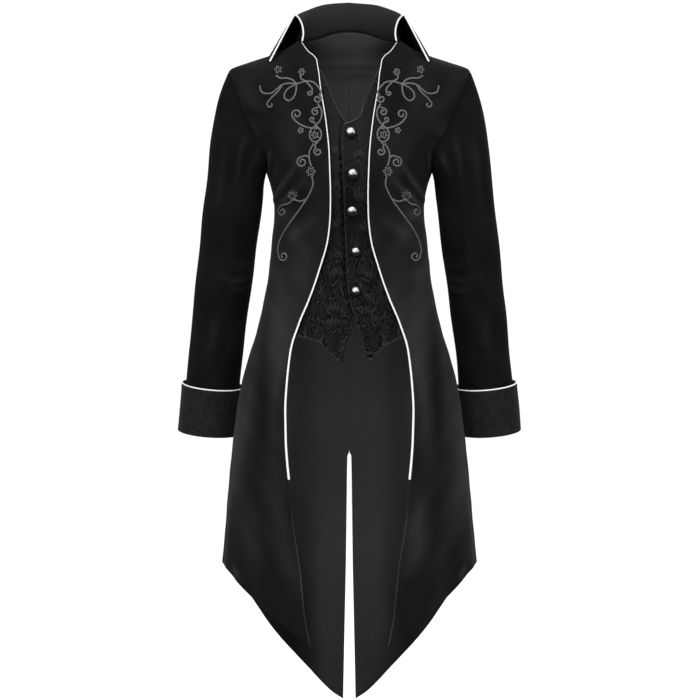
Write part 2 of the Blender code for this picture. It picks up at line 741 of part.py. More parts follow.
def collar_points():
    """The whole collar: the left half, the centre back and the right half mirrored."""
    half = collar_half()
    half[-1, :, 0] = 0.0
    mirrored = half[-2::-1] * np.array([-1.0, 1.0, 1.0])
    return np.concatenate([half, mirrored])


def edge_cord_path():
    """Points and half thicknesses of the front's piping, just outside the cloth's edge."""
    places = front_boundary()[NECK_ROWS:]
    places = places[places[:, 1] > CORD_END]
    points, normals = surface(places[:, 0], places[:, 1], inward=VELVET_WALL / 2)
    ahead = np.gradient(points, axis=0)
    away = np.cross(ahead, normals)
    away = away / np.linalg.norm(away, axis=1, keepdims=True)
    share = np.linspace(0.0, 1.0, len(points))
    radii = CORD_AT_NECK + (CORD_AT_END - CORD_AT_NECK) * share
    path = points + away * (radii + SEAM_GAP)[:, None]
    return path, radii


def collar_cord_path():
    """Points of the piping on the collar's left end."""
    sections = collar_half()
    end = sections[0]
    away = end - sections[1]
    along = np.gradient(end, axis=0)
    along = along / np.linalg.norm(along, axis=1, keepdims=True)
    away = away - (away * along).sum(axis=1, keepdims=True) * along
    away = away / np.linalg.norm(away, axis=1, keepdims=True)
    path = end + away * (CORD_SMALL + SEAM_GAP)
    path[0, 2] += 2 * CORD_SMALL
    return path, np.full(len(path), CORD_SMALL)


def cuff_cord_path():
    """Points of the piping ring that lies on the left cuff's top edge."""
    points = cuff_points()
    axis = arm_axis(CUFF, 0)
    centre = points[0].mean(axis=0)
    inward = centre - points[0]
    inward = inward / np.linalg.norm(inward, axis=1, keepdims=True)
    path = points[0] + inward * VELVET_WALL / 2 - axis * (CORD_SMALL + SEAM_GAP)
    return path, np.full(len(path), CORD_SMALL)


def waistcoat_points(edges):
    """Points of a waistcoat front, which lies inside the coat and rises to it at its seam."""
    top = to_turns(Path(edges["neck"]).even(WAISTCOAT_COLUMNS))
    bottom = to_turns(Path(edges["hem"]).even(WAISTCOAT_COLUMNS))
    lap = to_turns(Path(edges["lap"]).even(WAISTCOAT_ROWS))
    seam = to_turns(Path(edges["seam"]).even(WAISTCOAT_ROWS))
    grid = blend_patch(lap, seam, top, bottom)
    across = np.linspace(0.0, 1.0, WAISTCOAT_COLUMNS + 1)[None, :]
    rise = np.clip((across - WAISTCOAT_RISE_FROM) / (1 - WAISTCOAT_RISE_FROM), 0.0, 1.0)
    depth = edges["depth"] + (WAISTCOAT_SEAM_DEPTH - edges["depth"]) * rise ** 2 * (3 - 2 * rise)
    depth = np.broadcast_to(depth, grid.shape[:2])
    return surface(grid[..., 0], grid[..., 1], inward=depth)[0]


def make_button(name, across, height, radius):
    """Domed button: a quarter arc over a short rim, turned about its own axis."""
    turn = turn_at_width(across, height)
    depth = WAISTCOAT_LEFT["depth"] - 2 * SEAM_GAP
    (place,), (normal,) = surface([turn], [height], inward=[depth])
    profile = [(0.0, BUTTON_RIM + BUTTON_RISE)]
    for step in range(1, BUTTON_ARC_STEPS + 1):
        angle = math.pi / 2 * step / BUTTON_ARC_STEPS
        profile.append((radius * math.sin(angle), BUTTON_RIM + BUTTON_RISE * math.cos(angle)))
    profile.append((radius * BUTTON_FOOT, 0.0))
    profile.append((0.0, 0.0))
    mesh = bpy.data.meshes.new(name)
    mesh.from_pydata([(x, 0.0, z) for x, z in profile], [
        (i, i + 1) for i in range(len(profile) - 1)], [])
    item = place_object(name, mesh, "metal")
    turned = item.modifiers.new("turned", "SCREW")
    turned.axis = "Z"
    turned.steps = BUTTON_STEPS
    turned.render_steps = BUTTON_STEPS
    turned.use_merge_vertices = True
    turned.merge_threshold = BUTTON_MERGE
    turned.use_smooth_shade = True
    item.location = place
    item.rotation_mode = "QUATERNION"
    item.rotation_quaternion = Vector((0.0, 0.0, 1.0)).rotation_difference(Vector(normal))
    return item


def make_coat():
    """Build every piece of the coat."""
    clear_scene()
    group = bpy.data.collections.new(COLLECTION)
    bpy.context.scene.collection.children.link(group)

    front, _ = surface(*np.moveaxis(front_grid(), -1, 0))
    back, _ = surface(*np.moveaxis(finished_back_grid(), -1, 0))
    lining = lining_points()
    sleeve = sleeve_points()
    cuff = cuff_points()
    edge_cord = edge_cord_path()
    collar_cord = collar_cord_path()
    cuff_cord = cuff_cord_path()
    for name, side in (("left", 1), ("right", -1)):
        cloth(f"front_{name}", front, VELVET_WALL, "velvet", side)
        cloth(f"back_{name}", back, VELVET_WALL, "velvet", side)
        cloth(f"lining_{name}", lining, LINING_WALL, "satin", side)
        cloth(f"sleeve_{name}", sleeve, VELVET_WALL, "velvet", side, closed=True, outward=False)
        cloth(f"cuff_{name}", cuff, VELVET_WALL, "velvet", side, closed=True, outward=False)
        cord(f"piping_front_{name}", *edge_cord, side)
        cord(f"piping_collar_{name}", *collar_cord, side)
        cord(f"piping_cuff_{name}", *cuff_cord, side, closed=True)
    cloth("collar", collar_points(), COLLAR_WALL, "velvet", offset=0.0)
    cloth("waistcoat_left", waistcoat_points(WAISTCOAT_LEFT), BROCADE_WALL, "brocade", 1)
    cloth("waistcoat_right", waistcoat_points(WAISTCOAT_RIGHT), BROCADE_WALL, "brocade", -1)
    for number, (across, height, radius) in enumerate(BUTTONS, start=1):
        make_button(f"button_{number}", across, height, radius)


make_coat()
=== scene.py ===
"""Frock coat in black cotton velvet: cutaway piped front, pointed tails, brocade waistcoat front.

The coat's cloth is worked out on one body surface, which the same few sections drive as in the
solid model. A place on that surface is a turn (0 at the centre front, 1 at the side, 2 at the
centre back) and a height. Every piece replaces its own node of the frame. Units are metres, the
front faces -Y and the wearer's left is at +X.
"""

import logging
import math
from dataclasses import dataclass
from enum import Enum

import bpy
import numpy as np
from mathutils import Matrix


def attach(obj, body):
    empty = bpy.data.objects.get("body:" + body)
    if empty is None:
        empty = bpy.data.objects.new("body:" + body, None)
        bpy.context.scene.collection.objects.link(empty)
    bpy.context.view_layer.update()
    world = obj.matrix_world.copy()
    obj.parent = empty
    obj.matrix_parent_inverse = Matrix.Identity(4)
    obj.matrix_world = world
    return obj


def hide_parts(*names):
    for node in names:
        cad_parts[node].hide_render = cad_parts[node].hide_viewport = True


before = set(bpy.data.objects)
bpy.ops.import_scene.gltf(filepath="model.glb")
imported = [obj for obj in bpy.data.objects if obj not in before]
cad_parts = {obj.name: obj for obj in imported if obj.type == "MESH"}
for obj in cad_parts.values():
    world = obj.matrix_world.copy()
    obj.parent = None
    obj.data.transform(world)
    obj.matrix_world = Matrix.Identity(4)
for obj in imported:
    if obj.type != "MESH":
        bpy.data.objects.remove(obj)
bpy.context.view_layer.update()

LOG = logging.getLogger("frock_coat")
MM = 0.001
UP = np.array([0.0, 0.0, 1.0])


class Side(Enum):
    """The wearer's left, at +X, or right."""

    LEFT = 1
    RIGHT = -1

    @property
    def word(self) -> str:
        """The side's name in the names of pieces."""
        return self.name.lower()


class Slot(Enum):
    """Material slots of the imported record."""

    VELVET = "velvet"
    BROCADE = "brocade"
    SATIN = "satin"
    CORD = "cord"
    METAL = "metal"


class Hold(Enum):
    """Ways in which a sheet of cloth is held."""

    HUNG = "hung"
    FOLDED = "folded"


# Curves and grids


class Curve:
    """Smooth curve through the rows of a table, whose first column says where each row is."""

    def __init__(self, rows) -> None:
        """Keep the rows and the slope at each, which is the weighted mean of its neighbours'.

        Args:
            rows: tuples of a position and the values there.
        """
        table = np.array(sorted(tuple(row) for row in rows), dtype=float)
        self.at = table[:, 0]
        self.values = table[:, 1:]
        step = np.diff(self.at)[:, None]
        rise = np.diff(self.values, axis=0) / step
        inner = (rise[:-1] * step[1:] + rise[1:] * step[:-1]) / (step[:-1] + step[1:])
        self.slope = np.vstack([rise[:1], inner, rise[-1:]])

    def __call__(self, at) -> np.ndarray:
        """Values by the cubic between the two nearest rows that keeps their slopes.

        Args:
            at: positions, of any shape.

        Returns:
            The values, with one axis more than the positions.
        """
        at = np.clip(np.asarray(at, dtype=float), self.at[0], self.at[-1])
        low = np.clip(np.searchsorted(self.at, at) - 1, 0, len(self.at) - 2)
        span = (self.at[low + 1] - self.at[low])[..., None]
        t = (at[..., None] - self.at[low][..., None]) / span
        start = self.values[low] * (1 + 2 * t) * (1 - t) ** 2
        end = self.values[low + 1] * t ** 2 * (3 - 2 * t)
        lean = span * t * (1 - t) * (self.slope[low] * (1 - t) - self.slope[low + 1] * t)
        return start + end + lean


class Path:
    """Smooth line through a few places, read by the distance along it."""

    def __init__(self, places) -> None:
        """Measure the straight steps between the places.

        Args:
            places: the places that the line goes through.
        """
        places = np.array(places, dtype=float)
        steps = np.linalg.norm(np.diff(places, axis=0), axis=1)
        self.stops = np.concatenate([[0.0], np.cumsum(steps)])
        self.length = self.stops[-1]
        self.curve = Curve(np.column_stack([self.stops, places]))

    def at(self, shares) -> np.ndarray:
        """Places at shares of the whole length, 0 at the start and 1 at the end."""
        return self.curve(np.asarray(shares, dtype=float) * self.length)

    def even(self, step: float) -> np.ndarray:
        """Places at even steps, each as near to the wanted step as fits."""
        return self.at(np.linspace(0.0, 1.0, max(2, round(self.length / step)) + 1))


def unit(vectors: np.ndarray) -> np.ndarray:
    """The same vectors at length 1."""
    length = np.linalg.norm(vectors, axis=-1, keepdims=True)
    return vectors / np.maximum(length, 1e-12)


def smooth(share: np.ndarray) -> np.ndarray:
    """Soft step from 0 to 1: three times the square less twice the cube."""
    share = np.clip(share, 0.0, 1.0)
    return share ** 2 * (3 - 2 * share)


def crowded(count: int, pull: float) -> np.ndarray:
    """Shares from 0 to 1 that lie closer together at both ends.

    Formula: t less pull times the sine of a full turn of t, over a full turn.

    Args:
        count: number of steps.
        pull: 0 for even steps, towards 1 for steps that shrink at the ends.

    Returns:
        count + 1 shares.
    """
    t = np.linspace(0.0, 1.0, count + 1)
    return t - pull * np.sin(2 * math.pi * t) / (2 * math.pi)


def grid_normals(points: np.ndarray, closed: bool = False) -> np.ndarray:
    """Normals of a grid: the cross of its steps along a row and down a column.

    Args:
        points: rows by columns by 3.
        closed: whether the last column joins the first.

    Returns:
        Unit normals, rows by columns by 3.
    """
    down = np.gradient(points, axis=0)
    if closed:
        along = np.roll(points, -1, axis=1) - np.roll(points, 1, axis=1)
    else:
        along = np.gradient(points, axis=1)
    return unit(np.cross(down, along))


def edge_distance(points: np.ndarray, edge: np.ndarray) -> np.ndarray:
    """Straight distance of each point of a grid from the edge point in its row or column."""
    return np.linalg.norm(points - edge, axis=-1)


@dataclass(frozen=True)
class Crease:
    """Soft ridge or trough in cloth, along a line of a few places.

    Attributes:
        places: (across, height) of each place, in the way of the piece that it is on.
        width: half width where it has fallen to about a third.
        rise: height of the ridge, or a negative depth.
        left: share of the rise on the wearer's left side.
        right: share of the rise on the wearer's right side.
    """

    places: tuple
    width: float
    rise: float
    left: float = 1.0
    right: float = 1.0

    def push(self, points: np.ndarray, line: np.ndarray, side: Side) -> np.ndarray:
        """Push along the normals: a bell across the line, with a shallow dip beyond it.

        The bell is e to the minus square of distance over width. The dip is a third of a bell
        twice as wide. Both fade to nothing at the line's ends.

        Args:
            points: points of the cloth, of any shape with 3 in the last axis.
            line: points along the crease in space.
            side: the side of the coat that is made.

        Returns:
            The push at each point.
        """
        gaps = np.linalg.norm(points[..., None, :] - line, axis=-1)
        nearest = gaps.argmin(axis=-1)
        gap = gaps.min(axis=-1) / self.width
        share = nearest / (len(line) - 1)
        fade = np.sin(math.pi * np.clip(share, 0.02, 0.98)) ** 0.7
        profile = np.exp(-gap ** 2) - 0.33 * np.exp(-(gap / 2.1) ** 2)
        weight = self.left if side is Side.LEFT else self.right
        return 1.4 * self.rise * weight * fade * profile


# Finishes


def linear(hex_colour: str, alpha: float = 1.0) -> tuple:
    """Turn an sRGB hex colour into linear values.

    Formula: a value over 12.92 in the darks, else ((value + 0.055) / 1.055) to the power 2.4.

    Args:
        hex_colour: a hash and six hex digits.
        alpha: opacity.

    Returns:
        Red, green, blue and alpha.
    """
    parts = [int(hex_colour[i:i + 2], 16) / 255 for i in (1, 3, 5)]
    values = [v / 12.92 if v <= 0.04045 else ((v + 0.055) / 1.055) ** 2.4 for v in parts]
    return (*values, alpha)


def add_node(tree: bpy.types.NodeTree, kind: str, inputs: dict | None = None,
             **settings) -> bpy.types.Node:
    """Add a node with its settings and links.

    Args:
        tree: the material's node tree.
        kind: the node's Blender name without "ShaderNode".
        inputs: for each input's name or number, a value or the output that feeds it.
        settings: the node's own properties.

    Returns:
        The new node.
    """
    node = tree.nodes.new(f"ShaderNode{kind}")
    for name, value in settings.items():
        setattr(node, name, value)
    for key, value in (inputs or {}).items():
        if isinstance(value, bpy.types.NodeSocket):
            tree.links.new(value, node.inputs[key])
        else:
            node.inputs[key].default_value = value
    return node


def add_ramp(tree: bpy.types.NodeTree, factor: bpy.types.NodeSocket,
             stops: tuple) -> bpy.types.NodeSocket:
    """Add a colour ramp.

    Args:
        tree: the material's node tree.
        factor: the output that it reads.
        stops: (position, hex colour) pairs, in order.

    Returns:
        The ramp's colour output.
    """
    node = add_node(tree, "ValToRGB", {"Fac": factor})
    elements = node.color_ramp.elements
    for _ in stops[2:]:
        elements.new(0.5)
    for element, (position, colour) in zip(elements, stops):
        element.position = position
        element.color = linear(colour)
    return node.outputs["Color"]


def start_material(name: str) -> tuple:
    """Make a material with a Principled shader.

    Args:
        name: what the real material is.

    Returns:
        The material, its node tree and the shader.
    """
    material = bpy.data.materials.new(name)
    material.use_nodes = True
    tree = material.node_tree
    return material, tree, tree.nodes["Principled BSDF"]


@dataclass(frozen=True)
class CottonVelvet:
    """Cotton velvet, a woven ground with cut pile, which drinks light and glows where it turns.

    A float attribute paints light and shade into the pile's colour: lighter on folds' ridges,
    over the hip, on the collar stand's inner face and along bare edges, darker in troughs and
    under the collar and by the armhole. Its broad patches partly stand for pile brushed flat.

    Attributes:
        name: the material's name.
        shade: darkest colour, where the pile stands up or painted shade falls.
        nap: colour where it leans, or under middling painted light.
        brushed: colour where it lies flat, or under stronger painted light.
        bright: lightest colour, a painted highlight on the stand's inner face and along bare
            edges.
        sheen: weight of the soft glow at turning edges.
        patch: size of the nap's uneven patches.
        pile: spacing of the tufts, drawn coarser than the real 0.3 mm so that it shows.
        relief: depth of the pile's bump.
    """

    name: str = "cotton_velvet"
    shade: str = "#0c0c0c"
    nap: str = "#18181a"
    brushed: str = "#29292b"
    bright: str = "#464648"
    sheen: float = 0.08
    patch: float = 55 * MM
    pile: float = 1.1 * MM
    relief: float = 0.25 * MM

    def build(self) -> bpy.types.Material:
        """Sum the painted light, a broad noise and the tufts, and read the colour from it."""
        material, tree, shader = start_material(self.name)
        place = add_node(tree, "TexCoord").outputs["Object"]
        # Painted light and shade come from a float attribute on the mesh.
        lift = add_node(tree, "Attribute", attribute_name="lift").outputs["Fac"]
        patches = add_node(tree, "TexNoise", {"Vector": place, "Scale": 1 / self.patch,
                                              "Detail": 3.0, "Roughness": 0.55}).outputs[0]
        tufts = add_node(tree, "TexNoise", {"Vector": place, "Scale": 1 / self.pile,
                                            "Detail": 1.0}).outputs[0]
        uneven = add_node(tree, "Math", {0: patches, 1: 0.15, 2: -0.018},
                          operation="MULTIPLY_ADD").outputs[0]
        grain = add_node(tree, "Math", {0: tufts, 1: 0.13, 2: uneven},
                         operation="MULTIPLY_ADD").outputs[0]
        flat = add_node(tree, "Math", {0: lift, 1: 0.28, 2: grain},
                        operation="MULTIPLY_ADD").outputs[0]
        colour = add_ramp(tree, flat, ((0.02, self.shade), (0.30, self.nap),
                                       (0.66, self.brushed), (1.0, self.bright)))
        bump = add_node(tree, "Bump", {"Height": tufts, "Strength": 0.6,
                                       "Distance": self.relief}).outputs[0]
        tree.links.new(colour, shader.inputs["Base Color"])
        tree.links.new(bump, shader.inputs["Normal"])
        shader.inputs["Roughness"].default_value = 0.9
        shader.inputs["Specular IOR Level"].default_value = 0.05
        shader.inputs["Sheen Weight"].default_value = self.sheen
        shader.inputs["Sheen Roughness"].default_value = 0.45
        shader.inputs["Sheen Tint"].default_value = linear("#9a9a9e")
        return material


@dataclass(frozen=True)
class EmbossedVelvet:
    """Cotton velvet with a crushed, wandering figure, whose flattened pile shines a little.

    Attributes:
        name: the material's name.
        shade: colour of the standing pile.
        pressed: colour of the flattened figure.
        figure: width of one figure, which is twice as high.
        pile: spacing of the tufts, drawn coarser than the real 0.3 mm so that it shows.
        relief: depth of the pressed figure.
    """

    name: str = "crushed_cotton_velvet"
    shade: str = "#070707"
    pressed: str = "#161617"
    figure: float = 7 * MM
    pile: float = 1.1 * MM
    relief: float = 0.8 * MM

    def build(self) -> bpy.types.Material:
        """Take a warped noise, stretched upwards, as the pressed figure, and add the tufts."""
        material, tree, shader = start_material(self.name)
        place = add_node(tree, "TexCoord").outputs["Object"]
        stretched = add_node(tree, "Mapping", {"Vector": place, "Scale": (1.0, 1.0, 0.5)})
        figure = add_node(tree, "TexNoise", {"Vector": stretched.outputs[0],
                                             "Scale": 1 / self.figure, "Detail": 2.0,
                                             "Distortion": 1.4}).outputs[0]
        tufts = add_node(tree, "TexNoise", {"Vector": place, "Scale": 1 / self.pile,
                                            "Detail": 1.0}).outputs[0]
        mixed = add_node(tree, "Math", {0: tufts, 1: 0.30, 2: figure},
                         operation="MULTIPLY_ADD").outputs[0]
        colour = add_ramp(tree, mixed, ((0.50, self.shade), (0.84, self.pressed)))
        bump = add_node(tree, "Bump", {"Height": mixed, "Strength": 0.6, "Distance": self.relief},
                        invert=True).outputs[0]
        tree.links.new(colour, shader.inputs["Base Color"])
        tree.links.new(bump, shader.inputs["Normal"])
        shader.inputs["Roughness"].default_value = 0.8
        shader.inputs["Specular IOR Level"].default_value = 0.12
        shader.inputs["Sheen Weight"].default_value = 0.08
        shader.inputs["Sheen Roughness"].default_value = 0.45
        shader.inputs["Sheen Tint"].default_value = linear("#9a9a9e")
        return material


@dataclass(frozen=True)
class FiguredBrocade:
    """Viscose brocade: sunk dark lines draw nested ovals and curled leaves in a satin field.

    A float attribute paints light and shade into the field, and "binding" marks the plain bound
    edges.

    Attributes:
        name: the material's name.
        ground: colour of the sunk lines.
        field: colour of the floats between the lines.
        glint: the lightest float colour, a painted highlight on the figure's raised crests.
        edge: colour of the plain binding.
        gloss: shine of the floats.
        motif: size of one leaf or oval.
        clump: size of the groups in which the leaves lie.
        thread: spacing of the threads, drawn coarser than the real 0.25 mm so that it shows.
        relief: height of the floats over the lines.
    """

    name: str = "figured_viscose_brocade"
    ground: str = "#040404"
    field: str = "#0a0a0b"
    glint: str = "#202021"
    edge: str = "#3a3a3b"
    gloss: float = 0.05
    motif: float = 24 * MM
    clump: float = 26 * MM
    thread: float = 0.9 * MM
    relief: float = 0.6 * MM

    def build(self) -> bpy.types.Material:
        """Bend the cloth's own coordinates by noise, and draw nested rings round each motif.

        The rings are the places where the sine of fifteen times the distance from the motif's
        heart is near 0, which is about every 5 mm. A broad noise leaves plain stretches, more
        of them above the waist.
        """
        material, tree, shader = start_material(self.name)
        place = add_node(tree, "UVMap", uv_map="cloth").outputs["UV"]
        lift = add_node(tree, "Attribute", attribute_name="lift").outputs["Fac"]
        binding = add_node(tree, "Attribute", attribute_name="binding").outputs["Fac"]
        wander = add_node(tree, "TexNoise", {"Vector": place, "Scale": 0.70 / self.motif,
                                             "Detail": 1.5}).outputs["Color"]
        warped = add_node(tree, "VectorMath", {0: wander, 1: (1.25 * self.motif,) * 3, 2: place},
                          operation="MULTIPLY_ADD").outputs[0]
        cells = add_node(tree, "TexVoronoi", {"Vector": warped, "Scale": 1 / self.motif,
                                              "Randomness": 0.9},
                         feature="F1").outputs["Distance"]
        rings = add_node(tree, "Math", {0: cells, 1: 15.0}, operation="MULTIPLY").outputs[0]
        wave = add_node(tree, "Math", {0: rings}, operation="SINE").outputs[0]
        size = add_node(tree, "Math", {0: wave}, operation="ABSOLUTE").outputs[0]
        line = add_node(tree, "MapRange", {"Value": size, "From Max": 0.66, "To Min": 1.0,
                                           "To Max": 0.0}, interpolation_type="SMOOTHSTEP")
        clumps = add_node(tree, "TexNoise", {"Vector": place, "Scale": 1 / self.clump,
                                             "Detail": 1.0}).outputs[0]
        depth = add_node(tree, "SeparateXYZ", {0: place}).outputs[1]
        lower = add_node(tree, "MapRange", {"Value": depth, "From Min": -0.12, "From Max": -0.32,
                                            "To Min": -0.08, "To Max": 0.10}).outputs[0]
        grouped = add_node(tree, "Math", {0: clumps, 1: lower}, operation="ADD").outputs[0]
        present = add_node(tree, "MapRange", {"Value": grouped, "From Min": 0.42,
                                              "From Max": 0.52}).outputs[0]
        plain = add_node(tree, "Math", {0: 1.0, 1: binding}, operation="SUBTRACT").outputs[0]
        shown = add_node(tree, "Math", {0: present, 1: plain}, operation="MULTIPLY").outputs[0]
        sunk = add_node(tree, "Math", {0: line.outputs[0], 1: shown},
                        operation="MULTIPLY").outputs[0]
        crest = add_node(tree, "MapRange", {"Value": wave, "From Min": 0.6,
                                            "From Max": 1.0}).outputs[0]
        raised = add_node(tree, "Math", {0: crest, 1: shown}, operation="MULTIPLY").outputs[0]
        threads = add_node(tree, "TexNoise", {"Vector": place, "Scale": 1 / self.thread,
                                              "Detail": 1.0}).outputs[0]
        # The raised crests get a painted highlight, and the painted light and shade are added.
        soft = add_node(tree, "Math", {0: raised, 1: 0.35, 2: lift},
                        operation="MULTIPLY_ADD").outputs[0]
        mottled = add_node(tree, "Math", {0: clumps, 1: 0.80, 2: soft},
                           operation="MULTIPLY_ADD").outputs[0]
        light = add_node(tree, "Math", {0: threads, 1: 0.30, 2: mottled},
                         operation="MULTIPLY_ADD").outputs[0]
        floats = add_ramp(tree, light, ((0.0, self.ground), (0.45, self.field),
                                        (1.0, self.glint)))
        cut = add_node(tree, "Mix", {0: sunk, 6: floats, 7: linear(self.ground)},
                       data_type="RGBA").outputs[2]
        colour = add_node(tree, "Mix", {0: binding, 6: cut, 7: linear(self.edge)},
                          data_type="RGBA").outputs[2]
        height = add_node(tree, "Math", {0: light, 1: sunk}, operation="SUBTRACT").outputs[0]
        rough = add_node(tree, "MapRange", {"Value": sunk, "To Min": 0.48,
                                            "To Max": 0.8}).outputs[0]
        bump = add_node(tree, "Bump", {"Height": height, "Strength": 0.8,
                                       "Distance": self.relief}).outputs[0]
        tree.links.new(colour, shader.inputs["Base Color"])
        tree.links.new(rough, shader.inputs["Roughness"])
        tree.links.new(bump, shader.inputs["Normal"])
        gloss = add_node(tree, "MapRange", {"Value": sunk, "To Min": self.gloss,
                                            "To Max": 0.0}).outputs[0]
        tree.links.new(gloss, shader.inputs["Specular IOR Level"])
        return material


@dataclass(frozen=True)
class SatinLining:
    """Acetate satin, a smooth lining with a low soft gloss and faint twill lines.

    Attributes:
        name: the material's name.
        shade: the darkest tone.
        middle: the tone half way.
        light: the lightest tone, where the painted light is 1.
        thread: spacing of the twill lines, drawn coarser than the real 0.2 mm so that they show.
        relief: depth of the twill lines.
    """

    name: str = "acetate_satin"
    shade: str = "#080808"
    middle: str = "#272727"
    light: str = "#505050"
    thread: float = 0.8 * MM
    relief: float = 0.05 * MM

    def build(self) -> bpy.types.Material:
        """Add painted light and a broad noise stretched down the cloth; bump it by fine waves."""
        material, tree, shader = start_material(self.name)
        place = add_node(tree, "UVMap", uv_map="cloth").outputs["UV"]
        lift = add_node(tree, "Attribute", attribute_name="lift").outputs["Fac"]
        stretched = add_node(tree, "Mapping", {"Vector": place, "Scale": (14.0, 2.5, 1.0)})
        tone = add_node(tree, "TexNoise", {"Vector": stretched.outputs[0], "Scale": 1.0,
                                           "Detail": 2.0}).outputs[0]
        # Painted light and shade from a float attribute set the tone.
        mixed = add_node(tree, "Math", {0: tone, 1: 0.12, 2: lift},
                         operation="MULTIPLY_ADD").outputs[0]
        colour = add_ramp(tree, mixed, ((0.0, self.shade), (0.3, self.middle),
                                        (1.0, self.light)))
        twill = add_node(tree, "TexWave", {"Vector": place, "Scale": 1 / self.thread / 20,
                                           "Distortion": 0.6}, bands_direction="DIAGONAL")
        bump = add_node(tree, "Bump", {"Height": twill.outputs["Fac"], "Strength": 0.4,
                                       "Distance": self.relief}).outputs[0]
        tree.links.new(colour, shader.inputs["Base Color"])
        tree.links.new(bump, shader.inputs["Normal"])
        shader.inputs["Roughness"].default_value = 0.58
        shader.inputs["Specular IOR Level"].default_value = 0.2
        return material


@dataclass(frozen=True)
class TwistedThread:
    """Rayon cord of twisted strands, with a painted highlight on each strand's top, painted shade
    between.

    Attributes:
        name: the material's name.
        groove_shade: painted shade deep between the strands.
        thread: colour of the threads.
        crown_highlight: painted highlight on top of each strand.
        yarn: width of one yarn of a strand.
        gloss: roughness of the threads.
    """

    name: str = "rayon_piping_cord"
    groove_shade: str = "#6e6e6c"
    thread: str = "#cfcfcd"
    crown_highlight: str = "#ececea"
    yarn: float = 0.45 * MM
    gloss: float = 0.42

    def build(self) -> bpy.types.Material:
        """Read the strand's height from the "lobe" attribute, and draw yarns along the cord."""
        material, tree, shader = start_material(self.name)
        lobe = add_node(tree, "Attribute", attribute_name="lobe").outputs["Fac"]
        place = add_node(tree, "UVMap", uv_map="cloth").outputs["UV"]
        yarns = add_node(tree, "TexWave", {"Vector": place, "Scale": 1 / self.yarn / 20,
                                           "Distortion": 1.0}, bands_direction="DIAGONAL")
        grain = yarns.outputs["Fac"]
        # Painted shade between the strands and a painted highlight on their tops, by the strand's
        # height.
        mixed = add_node(tree, "Math", {0: grain, 1: 0.18, 2: lobe},
                         operation="MULTIPLY_ADD").outputs[0]
        colour = add_ramp(tree, mixed, ((0.05, self.groove_shade), (0.50, self.thread),
                                        (1.0, self.crown_highlight)))
        bump = add_node(tree, "Bump", {"Height": grain, "Strength": 0.5,
                                       "Distance": 0.1 * MM}).outputs[0]
        tree.links.new(colour, shader.inputs["Base Color"])
        tree.links.new(bump, shader.inputs["Normal"])
        shader.inputs["Roughness"].default_value = self.gloss
        shader.inputs["Specular IOR Level"].default_value = 0.4
        return material


@dataclass(frozen=True)
class ButtonMetal:
    """Zinc alloy plated a dark silver and polished, dulled in specks where it is worn.

    Attributes:
        name: the material's name.
        bright: colour of the polished dome.
        dull: colour where dirt and wear dull the plating.
        grain: size of the wear's specks.
    """

    name: str = "nickel_plated_zinc"
    bright: str = "#8e8e90"
    dull: str = "#5a5a5c"
    grain: float = 1.6 * MM

    def build(self) -> bpy.types.Material:
        """Mix the plating and its wear by noise, with a rougher surface where it is worn."""
        material, tree, shader = start_material(self.name)
        place = add_node(tree, "TexCoord").outputs["Object"]
        wear = add_node(tree, "TexNoise", {"Vector": place, "Scale": 1 / self.grain,
                                           "Detail": 4.0}).outputs[0]
        colour = add_ramp(tree, wear, ((0.35, self.dull), (0.55, self.bright)))
        rough = add_node(tree, "MapRange", {"Value": wear, "From Min": 0.3, "From Max": 0.6,
                                            "To Min": 0.34, "To Max": 0.17}).outputs[0]
        bump = add_node(tree, "Bump", {"Height": wear, "Strength": 0.15,
                                       "Distance": 0.1 * MM}).outputs[0]
        tree.links.new(colour, shader.inputs["Base Color"])
        tree.links.new(rough, shader.inputs["Roughness"])
        tree.links.new(bump, shader.inputs["Normal"])
        shader.inputs["Metallic"].default_value = 1.0
        return material


@dataclass(frozen=True)
class StudioPaper:
    """Matt white background paper, faintly mottled.

    Attributes:
        name: the material's name.
        tone: its colour.
        fleck: its mottling's colour.
    """

    name: str = "background_paper"
    tone: str = "#f4f4f2"
    fleck: str = "#efefed"

    def build(self) -> bpy.types.Material:
        """Mix the two tones by a broad noise."""
        material, tree, shader = start_material(self.name)
        place = add_node(tree, "TexCoord").outputs["Object"]
        cloud = add_node(tree, "TexNoise", {"Vector": place, "Scale": 3.0}).outputs[0]
        colour = add_ramp(tree, cloud, ((0.35, self.fleck), (0.65, self.tone)))
        tree.links.new(colour, shader.inputs["Base Color"])
        shader.inputs["Roughness"].default_value = 0.9
        shader.inputs["Specular IOR Level"].default_value = 0.1
        return material


@dataclass(frozen=True)
class Wardrobe:
    """Every finish of the coat, built once."""

    velvet: bpy.types.Material
    sleeve_velvet: bpy.types.Material
    under_velvet: bpy.types.Material
    cuff_velvet: bpy.types.Material
    brocade: bpy.types.Material
    satin: bpy.types.Material
    facing: bpy.types.Material
    piping: bpy.types.Material
    thread: bpy.types.Material
    metal: bpy.types.Material

    @classmethod
    def build(cls) -> "Wardrobe":
        """Build the finishes. Sleeves and the collar's underside take the velvet darker, as
        painted shade.
        """
        return cls(
            velvet=CottonVelvet().build(),
            # Darker copies of the velvet: painted shade on the sleeves and under the collar.
            sleeve_velvet=CottonVelvet(name="cotton_velvet_sleeve_painted_shade", shade="#080808",
                                       nap="#0f0f10", brushed="#1b1b1c", bright="#262627",
                                       sheen=0.025).build(),
            under_velvet=CottonVelvet(name="cotton_velvet_underside_painted_shade", shade="#020202",
                                      nap="#060606", brushed="#0c0c0c", bright="#101010",
                                      sheen=0.02).build(),
            cuff_velvet=EmbossedVelvet().build(),
            brocade=FiguredBrocade().build(),
            satin=SatinLining().build(),
            facing=SatinLining(name="acetate_satin_facing", shade="#1c1c1c").build(),
            piping=TwistedThread().build(),
            thread=TwistedThread(name="rayon_embroidery_thread", groove_shade="#0c0c0c",
                                 thread="#434343", crown_highlight="#616161", yarn=0.5 * MM,
                                 gloss=0.6).build(),
            metal=ButtonMetal().build())


# Making pieces


